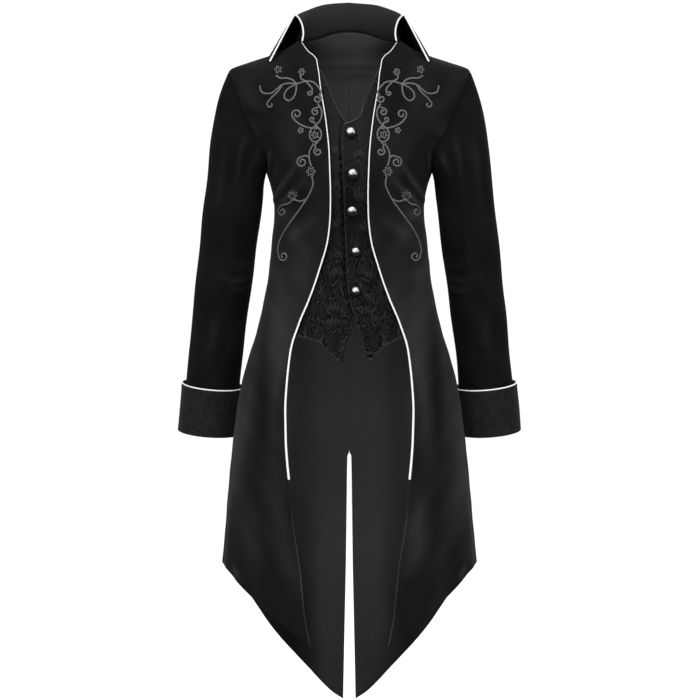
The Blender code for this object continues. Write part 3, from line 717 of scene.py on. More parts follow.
@dataclass
class Cloth:
    """A cloth panel that is worked out as a grid of points.

    Attributes:
        name: the piece's name.
        points: rows by columns by 3, for the wearer's left or for the whole coat.
        wall: the cloth's thickness.
        material: its face.
        inner: its other side.
        flipped: whether the grid's own normals point inwards.
        closed: whether the last column joins the first.
        offset: -1 puts the wall inside the points, 0 on both sides.
        lift: painted light and shade at each point, or none.
        binding: 1 where the cloth is a plain bound edge, or none.
    """

    name: str
    points: np.ndarray
    wall: float
    material: bpy.types.Material
    inner: bpy.types.Material
    flipped: bool = False
    closed: bool = False
    offset: float = -1.0
    lift: np.ndarray | None = None
    binding: np.ndarray | None = None

    def faces(self) -> np.ndarray:
        """Quads of the grid, as indexes of its points."""
        rows, columns = self.points.shape[:2]
        across = columns if self.closed else columns - 1
        row, column = np.meshgrid(np.arange(rows - 1), np.arange(across), indexing="ij")
        after = (column + 1) % columns
        quads = np.stack([row * columns + column, (row + 1) * columns + column,
                          (row + 1) * columns + after, row * columns + after], axis=-1)
        return quads.reshape(-1, 4)

    def coordinates(self) -> np.ndarray:
        """Places of each quad's corners on the flat cloth, in metres.

        Formula: the distance from the first column along the row, and minus the distance from
        the first row down the column.
        """
        points = self.points
        if self.closed:
            points = np.concatenate([points, points[:, :1]], axis=1)
        along = np.linalg.norm(np.diff(points, axis=1), axis=-1)
        down = np.linalg.norm(np.diff(points, axis=0), axis=-1)
        u = np.concatenate([np.zeros((len(points), 1)), np.cumsum(along, axis=1)], axis=1)
        v = -np.concatenate([np.zeros((1, points.shape[1])), np.cumsum(down, axis=0)])
        uv = np.stack([u - u[:, -1:] / 2, v], axis=-1)
        corners = [uv[:-1, :-1], uv[1:, :-1], uv[1:, 1:], uv[:-1, 1:]]
        return np.stack(corners, axis=2).reshape(-1, 4, 2)

    def build(self, side: Side = Side.LEFT) -> bpy.types.Object:
        """Put the grid into a mesh, mirrored for the right side, and give it its wall.

        Args:
            side: the wearer's side that the piece is for.

        Returns:
            The finished piece.
        """
        faces = self.faces()
        corners = self.coordinates()
        if (side is Side.RIGHT) != self.flipped:
            faces = faces[:, ::-1]
            corners = corners[:, ::-1]
        vertices = self.points.reshape(-1, 3) * np.array([side.value, 1.0, 1.0])
        mesh = bpy.data.meshes.new(self.name)
        mesh.from_pydata(vertices.tolist(), [], faces.tolist())
        layer = mesh.uv_layers.new(name="cloth")
        layer.data.foreach_set("uv", corners.reshape(-1))
        for name, values in (("lift", self.lift), ("binding", self.binding)):
            if values is not None:
                attribute = mesh.attributes.new(name, "FLOAT", "POINT")
                attribute.data.foreach_set("value", values.reshape(-1).astype(np.float32))
        mesh.shade_smooth()
        mesh.materials.append(self.material)
        mesh.materials.append(self.inner)
        piece = bpy.data.objects.new(self.name, mesh)
        bpy.context.scene.collection.objects.link(piece)
        thicken = piece.modifiers.new("wall", "SOLIDIFY")
        thicken.thickness = self.wall
        thicken.offset = self.offset
        thicken.material_offset = 1
        return piece


@dataclass
class Strand:
    """A cord: an outline carried along a line of points.

    Attributes:
        radius: half thickness, one number or one for each point.
        sides: points of the outline.
        strands: number of twisted strands, or 0 for a plain oval outline.
        pitch: length of one full twist.
        flat: height of the outline as a share of its width.
        tip: length over which the ends are rounded off.
    """

    radius: np.ndarray
    sides: int = 18
    strands: int = 3
    pitch: float = 8.0 * MM
    flat: float = 1.0
    tip: float = 1.2 * MM

    def surface(self, path: np.ndarray, normals: np.ndarray, closed: bool = False) -> tuple:
        """Carry the outline along the path.

        The outline is the outer edge of equal circles set round the middle, turned steadily
        along the path. Each circle is 0.52 of the cord's radius and stands 0.48 from its middle.

        Args:
            path: points along the cord's middle.
            normals: the direction of the outline's height at each point.
            closed: whether the cord is a ring.

        Returns:
            Vertices, quads, the strand's height at each vertex, and corners' flat places.
        """
        if closed:
            ahead = unit(np.roll(path, -1, axis=0) - np.roll(path, 1, axis=0))
        else:
            ahead = unit(np.gradient(path, axis=0))
        up = unit(normals - (normals * ahead).sum(axis=1, keepdims=True) * ahead)
        beside = np.cross(ahead, up)
        steps = np.linalg.norm(np.diff(path, axis=0), axis=1)
        along = np.concatenate([[0.0], np.cumsum(steps)])
        angle = np.linspace(0.0, 2 * math.pi, self.sides, endpoint=False)[None, :]
        pitch = self.pitch
        if closed:
            whole = along[-1] + np.linalg.norm(path[0] - path[-1])
            pitch = whole / round(whole / self.pitch)
        if self.strands:
            part = 2 * math.pi / self.strands
            phase = angle - 2 * math.pi * along[:, None] / pitch
            away = np.mod(phase, part) - part / 2
            reach = 0.48 * np.cos(away) + np.sqrt(0.2704 - (0.48 * np.sin(away)) ** 2)
            lobe = (reach - reach.min()) / (reach.max() - reach.min())
        else:
            reach = np.ones((len(path), self.sides))
            lobe = np.broadcast_to(0.5 + 0.5 * np.sin(angle), reach.shape)
        radius = np.broadcast_to(self.radius, len(path))[:, None]
        if not closed:
            end = np.minimum(along, along[-1] - along)[:, None] / self.tip
            radius = radius * np.sqrt(np.clip(1 - (1 - np.clip(end, 0.0, 1.0)) ** 2, 0.0025, 1))
        outline = reach * radius
        points = (path[:, None, :] + (outline * np.cos(angle))[..., None] * beside[:, None, :]
                  + (self.flat * outline * np.sin(angle))[..., None] * up[:, None, :])
        rows = len(path)
        row, column = np.meshgrid(np.arange(rows if closed else rows - 1),
                                  np.arange(self.sides), indexing="ij")
        after, below = (column + 1) % self.sides, (row + 1) % rows
        quads = np.stack([row * self.sides + column, row * self.sides + after,
                          below * self.sides + after, below * self.sides + column], axis=-1)
        quads = quads.reshape(-1, 4)
        girth = 2 * math.pi * float(np.mean(self.radius)) / self.sides
        u = np.stack([column, column + 1, column + 1, column], axis=-1) * girth
        v = np.stack([along[row], along[row], along[row] + steps.mean(),
                      along[row] + steps.mean()], axis=-1)
        flat_places = np.stack([u, v], axis=-1).reshape(-1, 4, 2)
        return points.reshape(-1, 3), quads, lobe.reshape(-1), flat_places, not closed


def build_strands(name: str, parts: list, material: bpy.types.Material,
                  side: Side = Side.LEFT) -> bpy.types.Object:
    """Join cords into one piece, with a closed cap at each open end.

    Args:
        name: the piece's name.
        parts: what Strand.surface gives for each cord, and its sides.
        material: the thread.
        side: the wearer's side that the piece is for.

    Returns:
        The piece, with its "lobe" attribute.
    """
    vertices, faces, lobes, places, start = [], [], [], [], 0
    for (points, quads, lobe, flat, is_open), sides in parts:
        rings = [list(range(sides))[::-1], list(range(len(points) - sides, len(points)))]
        faces.extend((quads + start).tolist())
        places.append(flat.reshape(-1, 2))
        if is_open:
            faces.extend([[i + start for i in ring] for ring in rings])
            places.append(np.zeros((2 * sides, 2)))
        vertices.append(points)
        lobes.append(lobe)
        start += len(points)
    vertices = np.concatenate(vertices) * np.array([side.value, 1.0, 1.0])
    mesh = bpy.data.meshes.new(name)
    mesh.from_pydata(vertices.tolist(), [], faces)
    layer = mesh.uv_layers.new(name="cloth")
    layer.data.foreach_set("uv", np.concatenate(places).reshape(-1))
    attribute = mesh.attributes.new("lobe", "FLOAT", "POINT")
    attribute.data.foreach_set("value", np.concatenate(lobes))
    if side is Side.RIGHT:
        mesh.flip_normals()
    mesh.shade_smooth()
    mesh.materials.append(material)
    piece = bpy.data.objects.new(name, mesh)
    bpy.context.scene.collection.objects.link(piece)
    return piece


def settle(piece: bpy.types.Object, slot: Slot, *nodes: str) -> bpy.types.Object:
    """Set a piece on the coat's one body, hide the nodes it stands for, and log its size.

    Args:
        piece: the finished piece.
        slot: the record's material slot; not used.
        nodes: the nodes that it replaces.

    Returns:
        The same piece.
    """
    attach(piece, "root")
    if nodes:
        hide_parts(*nodes)
    graph = bpy.context.evaluated_depsgraph_get()
    shown = piece.evaluated_get(graph)
    mesh = shown.to_mesh()
    mesh.calc_loop_triangles()
    area = sum(face.area for face in piece.data.polygons)
    LOG.info("%s: %d triangles, %.4f square metres", piece.name,
             len(mesh.loop_triangles), area)
    shown.to_mesh_clear()
    return piece


# The body surface


@dataclass(frozen=True)
class NapAndLightPatch:
    """Broad soft patch of painted light, or of painted shade below 0; partly for pile brushed
    flat.

    Attributes:
        across: distance of its middle from the centre line.
        height: height of its middle.
        wide: half width where it has fallen to about a third.
        high: half height in the same way.
        lift: how much light or shade is painted there, partly for how flat the pile lies.
    """

    across: float
    height: float
    wide: float
    high: float
    lift: float

    def at(self, points: np.ndarray) -> np.ndarray:
        """Painted light at each point: e to the minus squares of the distances over the half
        sizes.
        """
        beside = (points[..., 0] - self.across) / self.wide
        above = (points[..., 2] - self.height) / self.high
        return self.lift * np.exp(-beside ** 2 - above ** 2)


@dataclass(frozen=True)
class Flute:
    """Soft vertical fold of the skirt, which grows from its start down to the hem."""

    turn: float
    spread: float
    depth: float
    start: float


@dataclass(frozen=True)
class BodySurface:
    """The surface on which every panel lies.

    Attributes:
        rings: height, half width, reach to the front and to the back, where the ring is widest
            (forward is negative), and the curve of its front and back halves, where 2 is an
            ellipse, less is leaner and more is boxier.
        flutes: soft folds of the skirt.
        flute_full: height at which the flutes reach their full depth.
        front_creases: creases of a front.
        back_creases: creases of a back.
        front_patches: patches of painted light and shade on a front, partly for brushed nap.
        back_patches: the same on a back.
        ridge_painted_light: painted light on a ridge of ridge_height, painted shade in a trough.
        ridge_height: height of such a ridge.
        ripple: height of the cloth's faint unevenness.
        calm: distance from the centre line over which creases and unevenness come in, so that
            both halves meet.
        smooth_above: height above which the unevenness is gone, where the collar lies.
        settled_below: height below which it is whole.
        mendings: how often a width is mended for the flutes.
    """

    rings: tuple = (
        (0.060, 0.075, 0.063, 0.088, 0.000, 2.00, 2.10),
        (0.040, 0.085, 0.068, 0.093, 0.000, 2.00, 2.10),
        (0.024, 0.097, 0.072, 0.097, 0.000, 1.95, 1.90),
        (0.003, 0.1366, 0.082, 0.104, 0.000, 1.55, 1.65),
        (-0.010, 0.176, 0.088, 0.107, 0.000, 1.40, 1.55),
        (-0.018, 0.201, 0.092, 0.110, 0.000, 1.35, 1.50),
        (-0.024, 0.2135, 0.095, 0.111, 0.000, 1.35, 1.50),
        (-0.030, 0.2155, 0.097, 0.113, 0.000, 1.35, 1.50),
        (-0.060, 0.2125, 0.107, 0.118, 0.000, 1.50, 1.60),
        (-0.090, 0.2045, 0.115, 0.121, 0.000, 1.65, 1.75),
        (-0.120, 0.1925, 0.121, 0.123, 0.000, 1.80, 1.90),
        (-0.146, 0.182, 0.126, 0.124, 0.000, 1.90, 2.00),
        (-0.170, 0.167, 0.130, 0.123, 0.000, 2.00, 2.05),
        (-0.190, 0.1555, 0.132, 0.121, 0.000, 2.10, 2.10),
        (-0.209, 0.148, 0.133, 0.118, 0.000, 2.20, 2.20),
        (-0.235, 0.1395, 0.131, 0.112, 0.000, 2.25, 2.25),
        (-0.262, 0.1346, 0.1255, 0.105, 0.000, 2.30, 2.30),
        (-0.291, 0.1356, 0.1205, 0.099, 0.000, 2.30, 2.30),
        (-0.325, 0.1395, 0.1175, 0.098, 0.000, 2.30, 2.30),
        (-0.391, 0.1450, 0.119, 0.106, -0.001, 2.30, 2.25),
        (-0.485, 0.1653, 0.128, 0.122, -0.006, 2.20, 2.20),
        (-0.567, 0.1885, 0.138, 0.138, -0.016, 2.15, 2.15),
        (-0.676, 0.2081, 0.149, 0.153, -0.024, 2.10, 2.10),
        (-0.759, 0.2155, 0.156, 0.163, -0.024, 2.10, 2.10),
        (-0.904, 0.2296, 0.165, 0.177, -0.018, 2.10, 2.10),
        (-1.060, 0.236, 0.172, 0.188, -0.012, 2.10, 2.10),
        (-1.220, 0.240, 0.178, 0.196, -0.010, 2.10, 2.10),
    )
    flutes: tuple = (
        Flute(0.56, 0.12, -0.005, -0.45),
        Flute(0.76, 0.12, 0.005, -0.45),
        Flute(1.16, 0.14, -0.007, -0.42),
        Flute(1.40, 0.14, 0.010, -0.40),
        Flute(1.62, 0.13, -0.008, -0.42),
        Flute(1.82, 0.14, 0.007, -0.45),
    )
    flute_full: float = -1.05
    front_creases: tuple = (
        Crease(((0.1375, -0.262), (0.113, -0.226), (0.0918, -0.194)), 0.0060, 0.0044, 0.8, 1.0),
        Crease(((0.1280, -0.270), (0.102, -0.246), (0.0759, -0.2221)), 0.0060, 0.0030, 1.1, 0.9),
        Crease(((0.1127, -0.3295), (0.085, -0.308), (0.0559, -0.286)), 0.013, 0.0018, 0.8, 1.0),
        Crease(((0.134, -0.300), (0.118, -0.286), (0.098, -0.280)), 0.009, 0.0018, 1.0, 0.6),
        Crease(((0.1427, -0.205), (0.140, -0.185), (0.1385, -0.168)), 0.006, 0.0034, 0.8, 1.0),
        Crease(((0.160, -0.160), (0.150, -0.150), (0.139, -0.147)), 0.006, -0.0026, 1.0, 0.8),
        Crease(((0.188, -0.085), (0.172, -0.105), (0.150, -0.116)), 0.012, -0.0018, 0.7, 1.0),
        Crease(((0.186, -0.612), (0.198, -0.700), (0.209, -0.826)), 0.022, 0.0015, 0.8, 1.0),
        Crease(((0.150, -0.470), (0.158, -0.600), (0.156, -0.730)), 0.018, -0.0028, 1.0, 0.8),
        Crease(((0.105, -0.500), (0.130, -0.600), (0.128, -0.720)), 0.014, 0.0012, 0.9, 1.1),
        Crease(((0.110, -0.930), (0.118, -0.830), (0.128, -0.740)), 0.022, 0.0016, 1.1, 0.9),
        Crease(((0.2078, -0.9031), (0.200, -0.918), (0.1936, -0.9294)), 0.007, 0.0034, 0.9, 1.0),
        Crease(((0.150, -0.360), (0.125, -0.385), (0.095, -0.395)), 0.014, 0.0012, 1.0, 0.7),
    )
    back_creases: tuple = (
        Crease(((0.136, -0.300), (0.100, -0.288), (0.055, -0.292)), 0.010, 0.0030, 1.0, 0.7),
        Crease(((0.137, -0.335), (0.104, -0.330), (0.060, -0.345)), 0.011, 0.0026, 0.7, 1.0),
        Crease(((0.140, -0.225), (0.120, -0.255), (0.085, -0.275)), 0.009, 0.0030, 0.9, 1.0),
        Crease(((0.160, -0.150), (0.145, -0.180), (0.130, -0.230)), 0.010, 0.0026, 1.0, 0.8),
        Crease(((0.170, -0.060), (0.150, -0.090), (0.140, -0.140)), 0.014, -0.0018, 0.8, 1.0),
        Crease(((0.020, -0.360), (0.030, -0.500), (0.050, -0.700)), 0.020, 0.0030, 1.0, 0.8),
        Crease(((0.090, -0.480), (0.110, -0.650), (0.120, -0.860)), 0.022, -0.0030, 0.8, 1.0),
        Crease(((0.150, -0.520), (0.170, -0.700), (0.180, -0.880)), 0.020, 0.0034, 1.0, 0.9),
    )
    # Painted light and shade, partly for brushed nap: dark under the collar, by the armhole and
    # near the hem, light on the shoulder, waist and hip.
    front_patches: tuple = (
        NapAndLightPatch(0.105, 0.014, 0.030, 0.018, -1.10),
        NapAndLightPatch(0.170, -0.020, 0.045, 0.028, 0.45),
        NapAndLightPatch(0.150, -0.190, 0.026, 0.050, -0.70),
        NapAndLightPatch(0.115, -0.450, 0.066, 0.115, 1.15),
        NapAndLightPatch(0.125, -0.290, 0.030, 0.050, 0.25),
        NapAndLightPatch(0.205, -0.690, 0.048, 0.170, 0.85),
        NapAndLightPatch(0.150, -0.560, 0.040, 0.070, 0.45),
        NapAndLightPatch(0.130, -0.960, 0.060, 0.060, -0.35),
    )
    back_patches: tuple = (
        NapAndLightPatch(0.080, -0.400, 0.080, 0.120, 0.90),
        NapAndLightPatch(0.160, -0.720, 0.050, 0.170, 0.70),
        NapAndLightPatch(0.040, -0.620, 0.030, 0.200, 0.50),
        NapAndLightPatch(0.100, -0.060, 0.090, 0.050, 0.40),
        NapAndLightPatch(0.110, -1.000, 0.060, 0.050, 0.30),
    )
    ridge_painted_light: float = 1.6
    ridge_height: float = 0.0032
    ripple: float = 0.0007
    calm: float = 0.030
    smooth_above: float = 0.014
    settled_below: float = -0.040
    mendings: int = 4

    def ring(self, height: np.ndarray) -> list:
        """The ring's six values at each height, by the smooth curve through the table."""
        return list(np.moveaxis(RING_CURVE(height), -1, 0))

    def point(self, turn, height) -> np.ndarray:
        """Points of the surface.

        Formula: across is the half width times the sine of the turn's angle to the power of two
        over the curve; towards the front or back it is the reach times the cosine. The flutes
        then push both out from the ring's middle.

        Args:
            turn: 0 at the centre front, 1 at the side, 2 at the centre back.
            height: height of each place.

        Returns:
            The points.
        """
        turn, height = np.broadcast_arrays(np.asarray(turn, float), np.asarray(height, float))
        half_width, front, back, widest, front_curve, back_curve = self.ring(height)
        angle = turn * math.pi / 2
        forward = turn < 1.0
        curve = np.where(forward, front_curve, back_curve)
        reach = np.where(forward, front + widest, back - widest)
        wave = np.sin(angle)
        x = half_width * np.sign(wave) * np.abs(wave) ** (2 / curve)
        y = widest - reach * np.cos(angle)
        push = self.flute(turn, height) / np.maximum(np.hypot(x, y - widest), 0.02)
        return np.stack([x * (1 + push), widest + (y - widest) * (1 + push), height], axis=-1)

    def flute(self, turn: np.ndarray, height: np.ndarray) -> np.ndarray:
        """Push of the skirt's flutes: a raised cosine across, growing evenly downwards."""
        push = np.zeros(turn.shape)
        for fold in self.flutes:
            across = np.clip(np.abs(turn - fold.turn) / fold.spread, 0.0, 1.0)
            down = np.clip((fold.start - height) / (fold.start - self.flute_full), 0.0, 1.2)
            push = push + fold.depth * 0.5 * (1 + np.cos(math.pi * across)) * down
        return push

    def normal(self, turn, height) -> np.ndarray:
        """Outward normals, from the cross of short steps round and up the surface."""
        turn, height = np.asarray(turn, float), np.asarray(height, float)
        around = self.point(turn + 0.004, height) - self.point(turn - 0.004, height)
        upward = self.point(turn, height + 0.001) - self.point(turn, height - 0.001)
        return unit(np.cross(around, upward))

    def turn_at_width(self, width, height, back: bool = False) -> np.ndarray:
        """Turn of the place on a ring that lies this far from the centre line."""
        half_width, _, _, _, front_curve, back_curve = self.ring(np.asarray(height, float))
        curve = back_curve if back else front_curve
        share = np.minimum(1.0, np.abs(width) / half_width)
        turn = np.copysign(np.arcsin(share ** (curve / 2)) * 2 / math.pi, width)
        return 2 - turn if back else turn

    def turn_at_reach(self, reach, height, back: bool = False) -> np.ndarray:
        """Turn of the place on a ring that lies this far in front of, or behind, the neck."""
        _, front, rear, widest, _, _ = self.ring(np.asarray(height, float))
        if back:
            return 1 + np.arcsin(np.clip((reach - widest) / (rear - widest), 0, 1)) * 2 / math.pi
        return np.arccos(np.clip((reach + widest) / (front + widest), 0, 1)) * 2 / math.pi

    def places(self, rows: np.ndarray, back: bool = False) -> np.ndarray:
        """Change rows of (from the centre line, height) into (turn, height).

        The flutes move a place sideways, so its width on the plain ring is mended by what is
        missing, a few times over.
        """
        rows = np.asarray(rows, float)
        width = rows[:, 0]
        for _ in range(self.mendings):
            turn = self.turn_at_width(width, rows[:, 1], back)
            width = width + rows[:, 0] - self.point(turn, rows[:, 1])[:, 0]
        return np.column_stack([self.turn_at_width(width, rows[:, 1], back), rows[:, 1]])

    def relief(self, points: np.ndarray, turn: np.ndarray, side: Side) -> np.ndarray:
        """Push of the creases and of a faint unevenness, which is a sum of four waves.

        Both are multiplied by a soft step of the distance from the centre line.

        Args:
            points: points of the surface.
            turn: their turns, which part the fronts from the backs.
            side: the wearer's side.

        Returns:
            The push along the normals.
        """
        push = np.zeros(turn.shape)
        for back, creases in ((False, self.front_creases), (True, self.back_creases)):
            near = np.clip((turn - 0.96) / 0.08, 0.0, 1.0)
            near = smooth(near if back else 1 - near)
            for crease in creases:
                line = Path(crease.places).at(np.linspace(0.0, 1.0, 33))
                line = self.places(line, back)
                push += near * crease.push(points, self.point(line[:, 0], line[:, 1]), side)
        x, y, z = np.moveaxis(points, -1, 0)
        shift = 1.3 * side.value
        waves = (np.sin(61 * x + 23 * z + shift) + np.sin(37 * z - 41 * y + 2.1 * shift)
                 + np.sin(88 * y + 52 * x - 31 * z + 0.7) + 0.6 * np.sin(140 * x - 95 * z + 2.0))
        uneven = smooth((self.smooth_above - z) / (self.smooth_above - self.settled_below))
        return (push + self.ripple * uneven * waves / 2) * smooth(np.abs(x) / self.calm)

    def layer(self, turn, height, inward=0.0, side: Side = Side.LEFT) -> tuple:
        """Points of a layer of cloth with its relief, and the outward normals.

        Args:
            turn: turns of the places.
            height: heights of the places.
            inward: how far inside the coat's outer surface the layer lies.
            side: the wearer's side.

        Returns:
            Points and normals.
        """
        points, normals, _ = self.panel(turn, height, inward, side)
        return points, normals

    def panel(self, turn, height, inward=0.0, side: Side = Side.LEFT) -> tuple:
        """A layer of cloth, with its painted light and shade.

        The painted light is the sum of the patches, and of the push over a ridge's height, held
        between -0.8 and 0.7, so that ridges are lighter and troughs darker.

        Args:
            turn: turns of the places.
            height: heights of the places.
            inward: how far inside the coat's outer surface the layer lies.
            side: the wearer's side.

        Returns:
            Points, outward normals and the painted light and shade.
        """
        turn, height = np.broadcast_arrays(np.asarray(turn, float), np.asarray(height, float))
        points = self.point(turn, height)
        normals = self.normal(turn, height)
        push = self.relief(points, turn, side)
        # Painted light on ridges and painted shade in troughs, then the patches.
        lift = self.ridge_painted_light * np.clip(push / self.ridge_height, -0.8, 0.7)
        back = smooth((turn - 0.96) / 0.08)
        lift = lift + (1 - back) * sum(patch.at(points) for patch in self.front_patches)
        lift = lift + back * sum(patch.at(points) for patch in self.back_patches)
        return points + normals * (push - inward)[..., None], normals, lift


RING_CURVE = Curve(BodySurface.rings)


# Panels of the coat's body


@dataclass
class CoatBody:
    """Fronts, backs and back linings, which share their boundary lines.

    Attributes are the sizes of the cut, each line from the top down or from the side seam
    inwards, as places (from the centre line, height).
    """

    surface: BodySurface
    wardrobe: Wardrobe
    seam_gap: float = 0.0003
    butt: float = 0.00004
    velvet_wall: float = 0.0018
    lining_wall: float = 0.0010
    lining_clear: float = 0.0009
    lining_drop: float = 0.0022
    # Painted light on the lining by height, less down the tails, and painted shade towards its
    # sides.
    lining_lift: tuple = ((0.05, 0.34), (-0.10, 0.40), (-0.30, 0.64), (-0.65, 0.60),
                          (-0.80, 0.41), (-0.98, 0.14), (-1.10, 0.00), (-1.20, -0.04))
    lining_side_lift: float = -0.13
    neck_at_shoulder: float = 0.028
    neck_at_back: float = 0.0506
    shoulder_tip: float = -0.0255
    underarm: float = -0.2085
    side_hem: float = -0.9045
    centre_at_underarm: float = -0.262
    edge_to_corner: float = 0.042
    edge_to_underarm: float = 0.285
    neck_rows: int = 3
    corner_rows: int = 3
    chest_rows: int = 4
    skirt_rows: int = 21
    skirt_crowding: float = 1.15
    top_fade: int = 6
    bottom_fade: int = 3
    rows: int = 230
    front_columns: int = 60
    back_columns: int = 56
    shoulder_share: float = 0.4
    armhole: tuple = (
        (-0.0255, 0.000, 0.000), (-0.034, 0.014, 0.017), (-0.060, 0.0275, 0.034),
        (-0.090, 0.038, 0.046), (-0.120, 0.0455, 0.054), (-0.148, 0.053, 0.058),
        (-0.168, 0.056, 0.056), (-0.188, 0.047, 0.046), (-0.202, 0.028, 0.027),
        (-0.2085, 0.000, 0.000))
    front_edge: tuple = (
        (0.0862, 0.0234), (0.0716, 0.0035), (0.0645, -0.002), (0.0592, -0.0095),
        (0.0572, -0.020), (0.0548, -0.034), (0.0520, -0.059), (0.0434, -0.112),
        (0.0377, -0.162), (0.0356, -0.205), (0.0348, -0.248), (0.0358, -0.293),
        (0.0410, -0.333), (0.0519, -0.370), (0.0698, -0.423), (0.0911, -0.474),
        (0.1034, -0.512), (0.1100, -0.557), (0.1149, -0.616), (0.1145, -0.662),
        (0.1127, -0.702), (0.1085, -0.748), (0.1004, -0.812), (0.0855, -0.910),
        (0.0770, -0.991), (0.0683, -1.038))
    front_hem: tuple = (
        (0.2296, -0.9045), (0.2125, -0.919), (0.1970, -0.936), (0.1600, -0.969),
        (0.1215, -0.999), (0.0935, -1.020), (0.0683, -1.038))
    back_hem: tuple = (
        (0.2296, -0.9045), (0.2165, -0.931), (0.2020, -0.957), (0.1865, -0.982),
        (0.1718, -1.006), (0.1505, -1.040), (0.1262, -1.073), (0.1005, -1.106),
        (0.0757, -1.135), (0.0515, -1.161), (0.0310, -1.180), (0.0118, -1.193))
    back_neck: tuple = ((1.0, 0.028), (1.30, 0.0300), (1.55, 0.0370), (1.80, 0.0475),
                        (2.0, 0.0506))
    vent: tuple = ((-0.724, 0.0), (-0.729, 0.0034), (-0.765, 0.0043), (-0.930, 0.0062),
                   (-1.193, 0.0118))
    cord_end: float = -0.748
    # Painted highlight along the bare front edge below the cord.
    edge_highlight: float = 2.4
    edge_width: float = 0.0016
    seam_dip: float = 0.0011
    seam_width: float = 0.0032
    collar_reach: float = 0.132
    front_flat: tuple = (0.27, 1.10)
    back_flat: tuple = (0.36, 1.25)

    def __post_init__(self) -> None:
        """Count the rows above the underarm and in all."""
        self.chest_end = self.neck_rows + self.corner_rows + self.chest_rows
        self.row_count = self.chest_end + self.skirt_rows

    def row_places(self) -> np.ndarray:
        """Fine rows, counted in the rows of the cut."""
        return np.linspace(0.0, self.row_count, self.rows + 1)

    def skirt_share(self, row: np.ndarray) -> np.ndarray:
        """How far down each row below the underarm lies, closer together at the waist."""
        return np.clip((row - self.chest_end) / self.skirt_rows, 0, 1) ** self.skirt_crowding

    def armhole_side(self, row: np.ndarray, back: bool) -> np.ndarray:
        """Armhole and side seam of a panel, as places (turn, height) for each row."""
        line = Path([(entry[2 if back else 1], entry[0]) for entry in self.armhole])
        reach, height = line.at(np.clip(row / self.chest_end, 0, 1)).T
        turn = self.surface.turn_at_reach(reach, height, back)
        below = self.underarm + (self.side_hem - self.underarm) * self.skirt_share(row)
        on_seam = row >= self.chest_end
        return np.column_stack([np.where(on_seam | (row <= 0), 1.0, turn),
                                np.where(on_seam, below, height)])

    def front_side(self, row: np.ndarray) -> np.ndarray:
        """Neck seam and front edge of a front, as places (turn, height) for each row."""
        edge = Path(self.front_edge)
        knots = [self.neck_rows, self.neck_rows + self.corner_rows, self.chest_end]
        stop = np.interp(row, knots, [0.0, self.edge_to_corner, self.edge_to_underarm])
        stop = stop + (edge.length - self.edge_to_underarm) * self.skirt_share(row)
        on_edge = self.surface.places(edge.at(stop / edge.length))
        notch = self.surface.places([self.front_edge[0]])[0]
        share = np.clip(row / self.neck_rows, 0, 1)[:, None]
        neck = (1 - share) * np.array([1.0, self.neck_at_shoulder]) + share * notch
        return np.where((row < self.neck_rows)[:, None], neck, on_edge)

    def shoulder(self, shares: np.ndarray) -> np.ndarray:
        """Places of even steps along the shoulder seam, from its tip to the neck."""
        heights = np.linspace(self.shoulder_tip, self.neck_at_shoulder, 24)
        line = Path(np.column_stack([RING_CURVE(heights)[:, 0], heights]))
        return np.column_stack([np.ones(len(shares)), line.at(shares)[:, 1]])

    def centre_back(self, row: np.ndarray) -> np.ndarray:
        """Centre-back seam and vent edge, as places (turn, height) for each row."""
        tip = self.back_hem[-1][1]
        above = self.neck_at_back + (self.centre_at_underarm - self.neck_at_back) \
            * np.clip(row / self.chest_end, 0, 1)
        height = above + (tip - self.centre_at_underarm) * self.skirt_share(row)
        vent = np.array(self.vent)
        width = np.interp(-height, -vent[:, 0], vent[:, 1])
        return self.surface.places(np.column_stack([width, height]), back=True)

    def blend(self, row: np.ndarray, left: np.ndarray, right: np.ndarray, top: np.ndarray,
              bottom: np.ndarray, u: np.ndarray) -> np.ndarray:
        """Grid of places between four boundary lines.

        Formula: even steps from left to right in each row, to which the top line's departure
        from them is added, fading by a high power of the way down, and the bottom line's in the
        same way from below.

        Args:
            row: the rows, counted in rows of the cut.
            left: places of the left boundary.
            right: places of the right boundary.
            top: places of the top boundary.
            bottom: places of the bottom boundary.
            u: shares of the columns.

        Returns:
            Rows by columns by (turn, height).
        """
        v = (row / row[-1])[:, None, None]
        across = (1 - u)[None, :, None] * left[:, None] + u[None, :, None] * right[:, None]
        return (across + (1 - v) ** self.top_fade * (top[None] - across[:1])
                + v ** self.bottom_fade * (bottom[None] - across[-1:]))

    def part(self, places: np.ndarray, towards: int, gap: float) -> np.ndarray:
        """Move places half a gap towards a smaller or larger turn."""
        ahead = self.surface.point(places[:, 0] + 0.01, places[:, 1])
        behind = self.surface.point(places[:, 0] - 0.01, places[:, 1])
        per_turn = np.linalg.norm(ahead - behind, axis=-1) / 0.02
        moved = places.copy()
        moved[:, 0] += towards * gap / 2 / per_turn
        return moved

    def front_grid(self) -> np.ndarray:
        """Grid of places of a front, from its edge to the armhole and side seam."""
        row = self.row_places()
        u = crowded(self.front_columns, 0.6)
        left, right = self.front_side(row), self.armhole_side(row, back=False)
        top = self.shoulder(1 - u)
        bottom = self.surface.places(Path(self.front_hem).at(1 - u))
        bottom[-1] = right[-1]
        grid = self.blend(row, left, right, top, bottom, u)
        grid[0] = self.part(grid[0], -1, self.butt)
        below = row >= self.chest_end
        grid[below, -1] = self.part(grid[below, -1], -1, self.butt)
        return grid

